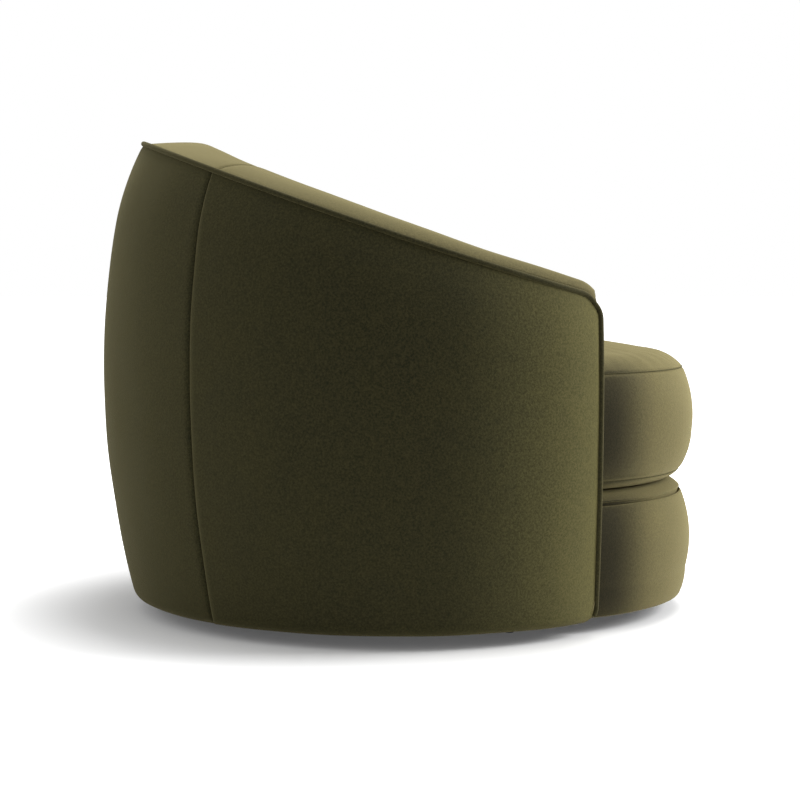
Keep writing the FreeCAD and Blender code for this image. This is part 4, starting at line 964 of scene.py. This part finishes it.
BIRCH = (0.42, 0.27, 0.13, 1), (0.66, 0.48, 0.28, 1)
BROWN = (0.13, 0.08, 0.04, 1), (0.22, 0.14, 0.08, 1)
POWDER = (0.008, 0.008, 0.009, 1), (0.022, 0.022, 0.024, 1)
ZINC = (0.45, 0.45, 0.43, 1), (0.62, 0.62, 0.60, 1)
NATURAL = (0.60, 0.58, 0.52, 1), (0.72, 0.70, 0.64, 1)
FINISHES = {
    "plywood": finish("birch plywood", GRAIN, *BIRCH, 22.0),
    "fibreboard": finish("brown fibreboard", SPECKLE, *BROWN, 500.0),
    "webbing": finish("black webbing", SPECKLE, grey(0.008), grey(0.03), 700.0, bump=0.5),
    "dust_cloth": finish("black dust cloth", SPECKLE, grey(0.006), grey(0.02), 1200.0, bump=0.4),
    "black_steel": finish("black powder coat", SPECKLE, *POWDER, 1400.0),
    "zinc_steel": finish("zinc-plated steel", SPECKLE, *ZINC, 800.0, metal=1.0),
    "nylon": finish("natural nylon", SPECKLE, *NATURAL, 300.0, bump=0.05),
    "black_plastic": finish("black plastic", SPECKLE, grey(0.008), grey(0.02), 900.0),
    "velvet": OLIVE_SHADED,
    "piping_velvet": OLIVE_CORD_SHADED,
}
slots = {entry["node"]: entry["material_slot"] for entry in frame["record"]["subparts"]}
for name, thing in nodes.items():
    thing.data.materials.clear()
    thing.data.materials.append(FINISHES[slots[name]])
print("finishes", len(FINISHES))

# %% [markdown]
# The photograph is a studio picture on white: a large soft light above, a strong one ahead of the
# chair and a weak one behind it, but none on the camera's side, so the velvet that faces the
# camera stays deep and its edges glow. The floor fades to white and keeps the chair's shadow.

# %% Floor, light and camera
GLOW_NEAR, GLOW_FAR, GLOW_LEAST = 0.40, 0.95, 0.08


def stage_material():
    """Matt and pale; it shows brighter to the camera away from the chair, as in a white studio."""
    material = bpy.data.materials.new("pale floor")
    material.use_nodes = True
    tree = material.node_tree
    tree.nodes.clear()
    out = add(tree, "ShaderNodeOutputMaterial")
    matt = add(tree, "ShaderNodeBsdfDiffuse")
    matt.inputs["Color"].default_value = (0.9, 0.9, 0.9, 1)
    glow = add(tree, "ShaderNodeEmission")
    glow.inputs["Color"].default_value = (1, 1, 1, 1)
    path = add(tree, "ShaderNodeLightPath")
    here = add(tree, "ShaderNodeNewGeometry")
    away = add(tree, "ShaderNodeVectorMath", operation="LENGTH")
    tree.links.new(here.outputs["Position"], away.inputs[0])
    far = add(tree, "ShaderNodeMapRange", interpolation_type="SMOOTHSTEP")
    far.inputs["From Min"].default_value = GLOW_NEAR
    far.inputs["From Max"].default_value = GLOW_FAR
    far.inputs["To Min"].default_value = GLOW_LEAST
    far.inputs["To Max"].default_value = 1.0
    tree.links.new(away.outputs["Value"], far.inputs["Value"])
    scale = add(tree, "ShaderNodeMath", operation="MULTIPLY")
    tree.links.new(path.outputs["Is Camera Ray"], scale.inputs[0])
    tree.links.new(far.outputs["Result"], scale.inputs[1])
    tree.links.new(scale.outputs[0], glow.inputs["Strength"])
    both = add(tree, "ShaderNodeAddShader")
    tree.links.new(matt.outputs[0], both.inputs[0])
    tree.links.new(glow.outputs[0], both.inputs[1])
    tree.links.new(both.outputs[0], out.inputs["Surface"])
    return material


floor_mesh = bpy.data.meshes.new("floor")
edge = 30.0
corners = [(-edge, -edge, 0), (edge, -edge, 0), (edge, edge, 0), (-edge, edge, 0)]
floor_mesh.from_pydata(corners, [], [(0, 1, 2, 3)])
floor = bpy.data.objects.new("floor", floor_mesh)
bpy.context.collection.objects.link(floor)
floor.data.materials.append(stage_material())

world = bpy.data.worlds.new("studio")
bpy.context.scene.world = world
world.use_nodes = True
tree = world.node_tree
ground = tree.nodes["Background"]
path = add(tree, "ShaderNodeLightPath")
level = add(tree, "ShaderNodeMapRange")
ground.inputs["Color"].default_value = (1, 1, 1, 1)
level.inputs["To Min"].default_value = 0.02  # the white room lights the chair only this much
level.inputs["To Max"].default_value = 1.0
seen = add(tree, "ShaderNodeMath", operation="MAXIMUM")
tree.links.new(path.outputs["Is Camera Ray"], seen.inputs[0])
tree.links.new(seen.outputs[0], level.inputs["Value"])
tree.links.new(level.outputs[0], ground.inputs["Strength"])


def lamp(name, at, towards, size, power):
    """A square soft light."""
    data = bpy.data.lights.new(name, "AREA")
    data.shape = "RECTANGLE"
    data.size, data.size_y = size, size
    data.energy = power
    thing = bpy.data.objects.new(name, data)
    bpy.context.collection.objects.link(thing)
    thing.location = at
    thing.rotation_euler = (Vector(towards) - Vector(at)).to_track_quat("-Z", "Y").to_euler()


lamp("top light", (0.35, -0.6, 3.2), (0, 0, 0.3), 1.8, 74)
lamp("front light", (0.0, -3.2, 1.8), (0, 0, 0.35), 1.6, 116)
lamp("back light", (-0.5, 3.2, 1.6), (0, 0, 0.4), 1.8, 17)

camera = bpy.data.objects.new("camera", bpy.data.cameras.new("camera"))
bpy.context.collection.objects.link(camera)
camera.data.sensor_width = 36.0
camera.data.lens = 88.2
CAMERA_AWAY, CAMERA_AHEAD, CAMERA_HEIGHT, CAMERA_TILT = 3.136, 0.0037, 0.542, 3.94
camera.location = (-CAMERA_AWAY, -CAMERA_AHEAD, CAMERA_HEIGHT)
drop = CAMERA_AWAY * math.tan(math.radians(CAMERA_TILT))
aim = Vector((0.0, -CAMERA_AHEAD, CAMERA_HEIGHT - drop))
camera.rotation_euler = (aim - camera.location).to_track_quat("-Z", "Y").to_euler()
bpy.context.scene.camera = camera
bpy.context.scene.view_settings.view_transform = "Standard"
print("camera", [round(value, 3) for value in camera.location])
